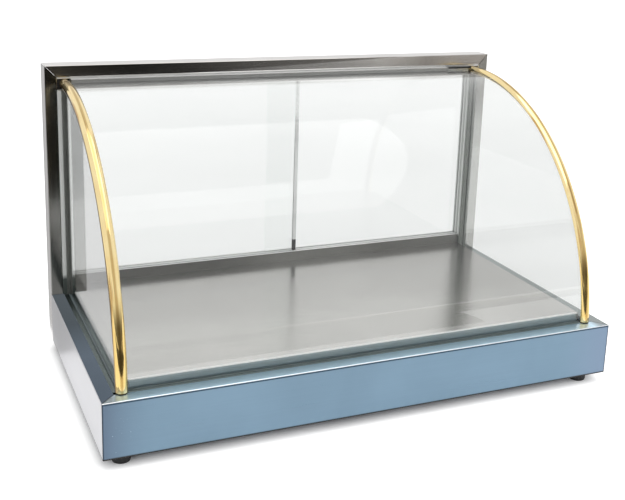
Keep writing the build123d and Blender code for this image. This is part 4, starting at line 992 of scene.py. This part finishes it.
# %% Finish of the carried solids
finishes = {
    zinc: ["bottom_pan", "front_bearer", "rear_bearer", "insulation_tray"],
    side_steel: ["base_rear_panel", "control_plate"],
    blue_foam: ["insulation_slab"],
    raw_aluminium: ["cold_plate", "cold_blocks", "left_heat_sink", "right_heat_sink", "power_supply",
                    "thermostat_body"],
    white_ceramic: ["thermoelectric_modules"],
    black_plastic: ["left_fan_frame", "right_fan_frame", "left_fan_rotor", "right_fan_rotor", "power_inlet",
                    "switch_housing"],
    gloss_plastic: ["switch_rocker"],
    bolt_steel: ["temperature_probe", "foot_screws", "pan_screws", "frame_screws", "track_screws"],
    black_rubber: ["wiring", "door_bumpers"],
    side_seat_rubber: ["side_glass_seats"],
    grey_rubber: ["side_seals"],
    seat_rubber: ["front_glass_seat"],
    strip_metal: ["head_seal"],
    white_nylon: ["left_door_shoes", "right_door_shoes"],
}
for material, names in finishes.items():
    for name in names:
        mesh = nodes[name].data
        mesh.materials.clear()
        mesh.materials.append(material)
print("carried solids:", sum(map(len, finishes.values())))

# %% [markdown]
# The studio is a pale floor in a white room, which lights the case evenly and which metal sees
# dark below the horizon. The floor glows close to the case and far from it, but only for the
# camera, the metal and the glass, so this glow lights nothing. At the case's foot the near glow
# fades to nothing, which paints a contact shadow on the floor round it.


# %% Floor and room
def flat(name, corners, material):
    """One flat face through the corners, for the studio."""
    mesh = bpy.data.meshes.new(name)
    mesh.from_pydata(corners, [], [tuple(range(len(corners)))])
    mesh.materials.append(material)
    return shown(name, mesh)


floor_material, shader, add = graph("floor")
pale = ramped(add, noise(add, (3, 3, 3), 2.0), [(0.3, (0.8,) * 3), (0.7, (0.84,) * 3)])
fill(shader, [("Base Color", pale), ("Roughness", 0.9)])
# Each pair of strengths is for the bare eye and through glass
near_glow, far_glow, dimming = (0.75, 0.4), (0.2, 0.28), (0.0, -0.17)
near_end, far_start, far_end = 42 * MM, 0.3, 2.8
# Painted shadow: the near glow is nothing inside a box a little within the case's outline, and rises to full
# a short way outside it.
under = (half_width - 22 * MM, back - 33 * MM, 0.0)
beside = vector(add, "SUBTRACT", vector(add, "ABSOLUTE", position(add)), under)
apart = vector(add, "LENGTH", vector(add, "MAXIMUM", beside))
rays = add("LightPath").outputs
through_glass = rays["Is Transmission Ray"]
near, far, dim = (ranged(add, through_glass, 0.0, 1.0, *pair) for pair in (near_glow, far_glow, dimming))
near = ranged(add, apart, 0.0, near_end, 0.0, near, interpolation_type="SMOOTHSTEP")
far = ranged(add, apart, far_start, far_end, 0.0, far, interpolation_type="SMOOTHSTEP")
strength = maths(add, "ADD", maths(add, "ADD", near, far), dim)
glow = add("Emission", [("Color", (1, 1, 1, 1)), ("Strength", strength)])
both = add("AddShader", [(0, shader.outputs[0]), (1, glow.outputs[0])])
direct = maths(add, "ADD", rays["Is Camera Ray"], rays["Is Glossy Ray"])
show(floor_material, maths(add, "ADD", direct, through_glass, use_clamp=True), shader, both)
floor = flat("floor", [(-12, -12, 0), (12, -12, 0), (12, 12, 0), (-12, 12, 0)], floor_material)
floor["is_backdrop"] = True

world = bpy.data.worlds.new("studio")
bpy.context.scene.world = world
world.use_nodes = True
add = adder(world.node_tree)
rays = add("LightPath").outputs
facing = vector(add, "DOT_PRODUCT", add("TexCoord").outputs["Generated"], (0.0, 0.35, 0.94))
room = ranged(add, facing, -0.2, 0.03, 0.14, 1.0, interpolation_type="SMOOTHSTEP")
straight = maths(add, "ADD", rays["Is Camera Ray"], rays["Is Transmission Ray"], use_clamp=True)
lit = add("Mix", [(0, rays["Is Glossy Ray"]), (2, 0.5), (3, room)]).outputs[0]
white = ranged(add, rays["Is Transmission Ray"], 0.0, 1.0, 1.0, 0.87)
level = add("Mix", [(0, straight), (2, lit), (3, white)]).outputs[0]
fill(world.node_tree.nodes["Background"], [("Strength", level), ("Color", (1, 1, 1, 1))])

# %% [markdown]
# In a white room polished metal would look like paper. So a dark card lies on the floor in front
# of the case, a grey one behind it at the left, and another on its left flange. Only mirror rays
# see them. A large soft lamp hangs above, and two weaker ones stand at the sides.


# %% Cards and lamps
def card(name, corners, stops):
    """A card that only mirror rays see, shaded along X between the stops."""
    material, _, add = graph(name)
    xs = [corner[0] for corner in corners]
    shade = ramped(add, ranged(add, position(add, "X"), min(xs), max(xs)), stops)
    glow = add("Emission", [("Color", shade)])
    mirrored = maths(add, "GREATER_THAN", add("LightPath").outputs["Glossy Depth"], 0.5)
    show(material, mirrored, add("BsdfTransparent", [("Color", (1, 1, 1, 1))]), glow)
    made = flat(name, corners, material)
    made.visible_camera = made.visible_diffuse = made.visible_shadow = False
    made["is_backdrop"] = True


def frame_of(right, up, behind, place):
    """A matrix from three directions and a place."""
    return Matrix([[right[i], up[i], behind[i], place[i]] for i in range(3)] + [[0, 0, 0, 1]])


floor_level, flange_level = 4 * MM, base_top + hair
floor_corners = [(-3.0, -11.9), (3.4, -11.9), (3.4, -2.2), (0.9, -1.5), (0.5, -0.7), (-3.0, -0.7)]
card("floor_card", [(x, y, floor_level) for x, y in floor_corners],
     [(0.4, (0.03, 0.028, 0.022)), (0.48, (0.07, 0.065, 0.055)), (0.52, (0.008, 0.008, 0.007)),
      (0.56, (0.0, 0.0, 0.0)), (0.6, (0.06, 0.058, 0.056)), (0.66, (0.17, 0.17, 0.165)),
      (0.73, (0.17, 0.17, 0.165)), (0.76, (0.6, 0.58, 0.55)), (0.79, (0.36, 0.34, 0.31)),
      (0.84, (0.6, 0.56, 0.51))])
grey = [(0.0, (0.6, 0.6, 0.6)), (1.0, (0.62, 0.62, 0.62))]
left_corners = rectangle(-3.0, -0.41, 0.16, 7.0).tolist()
card("left_card", [(x, y, floor_level) for x, y in left_corners], grey)
flange_x, flange_y = side_flange - half_width, front + front_flange
flange_corners = [(-half_width, front), (flange_x, flange_y), (flange_x, frame_front),
                  (-half_width, frame_front)]
card("flange_card", [(x, y, flange_level) for x, y in flange_corners], grey)
target = (0.0, 0.0, 0.2)
lamps = [("top", (0.0, -0.3, 2.4), 2.4, 24), ("left", (-2.2, -1.2, 1.2), 1.4, 7),
         ("right", (2.2, -1.0, 1.4), 1.4, 5.5)]
for name, place, size, power in lamps:
    lamp = bpy.data.lights.new(name, "AREA")
    lamp.size, lamp.energy = size, power
    made = shown(name, lamp)
    direction = np.array(place) - np.array(target)
    direction /= np.linalg.norm(direction)
    right = np.cross((0, 0, 1.0), direction)
    right /= np.linalg.norm(right)
    made.matrix_world = frame_of(right, np.cross(direction, right), direction, place)
    made.visible_glossy = name == "top"
    made.visible_camera = made.visible_transmission = False

# %% [markdown]
# The camera stands to the left of the case and looks down at it, with its picture shifted, as
# the verticals of the photograph converge less than the view alone would make them.

# %% Camera
camera_data = bpy.data.cameras.new("camera")
camera_data.sensor_width, camera_data.lens = 36.0, 57.74
camera_data.shift_y = -0.128
camera = shown("camera", camera_data)
right, up = (0.92046, -0.3896, 0.03111), (0.06723, 0.23623, 0.96937)
behind, place = (-0.38501, -0.89018, 0.24363), (-0.6237, -1.3877, 0.7069)
camera.matrix_world = frame_of(right, up, behind, place)
bpy.context.scene.camera = camera
bpy.context.scene.view_settings.view_transform = "Standard"

# %% Sizes
low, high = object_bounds()
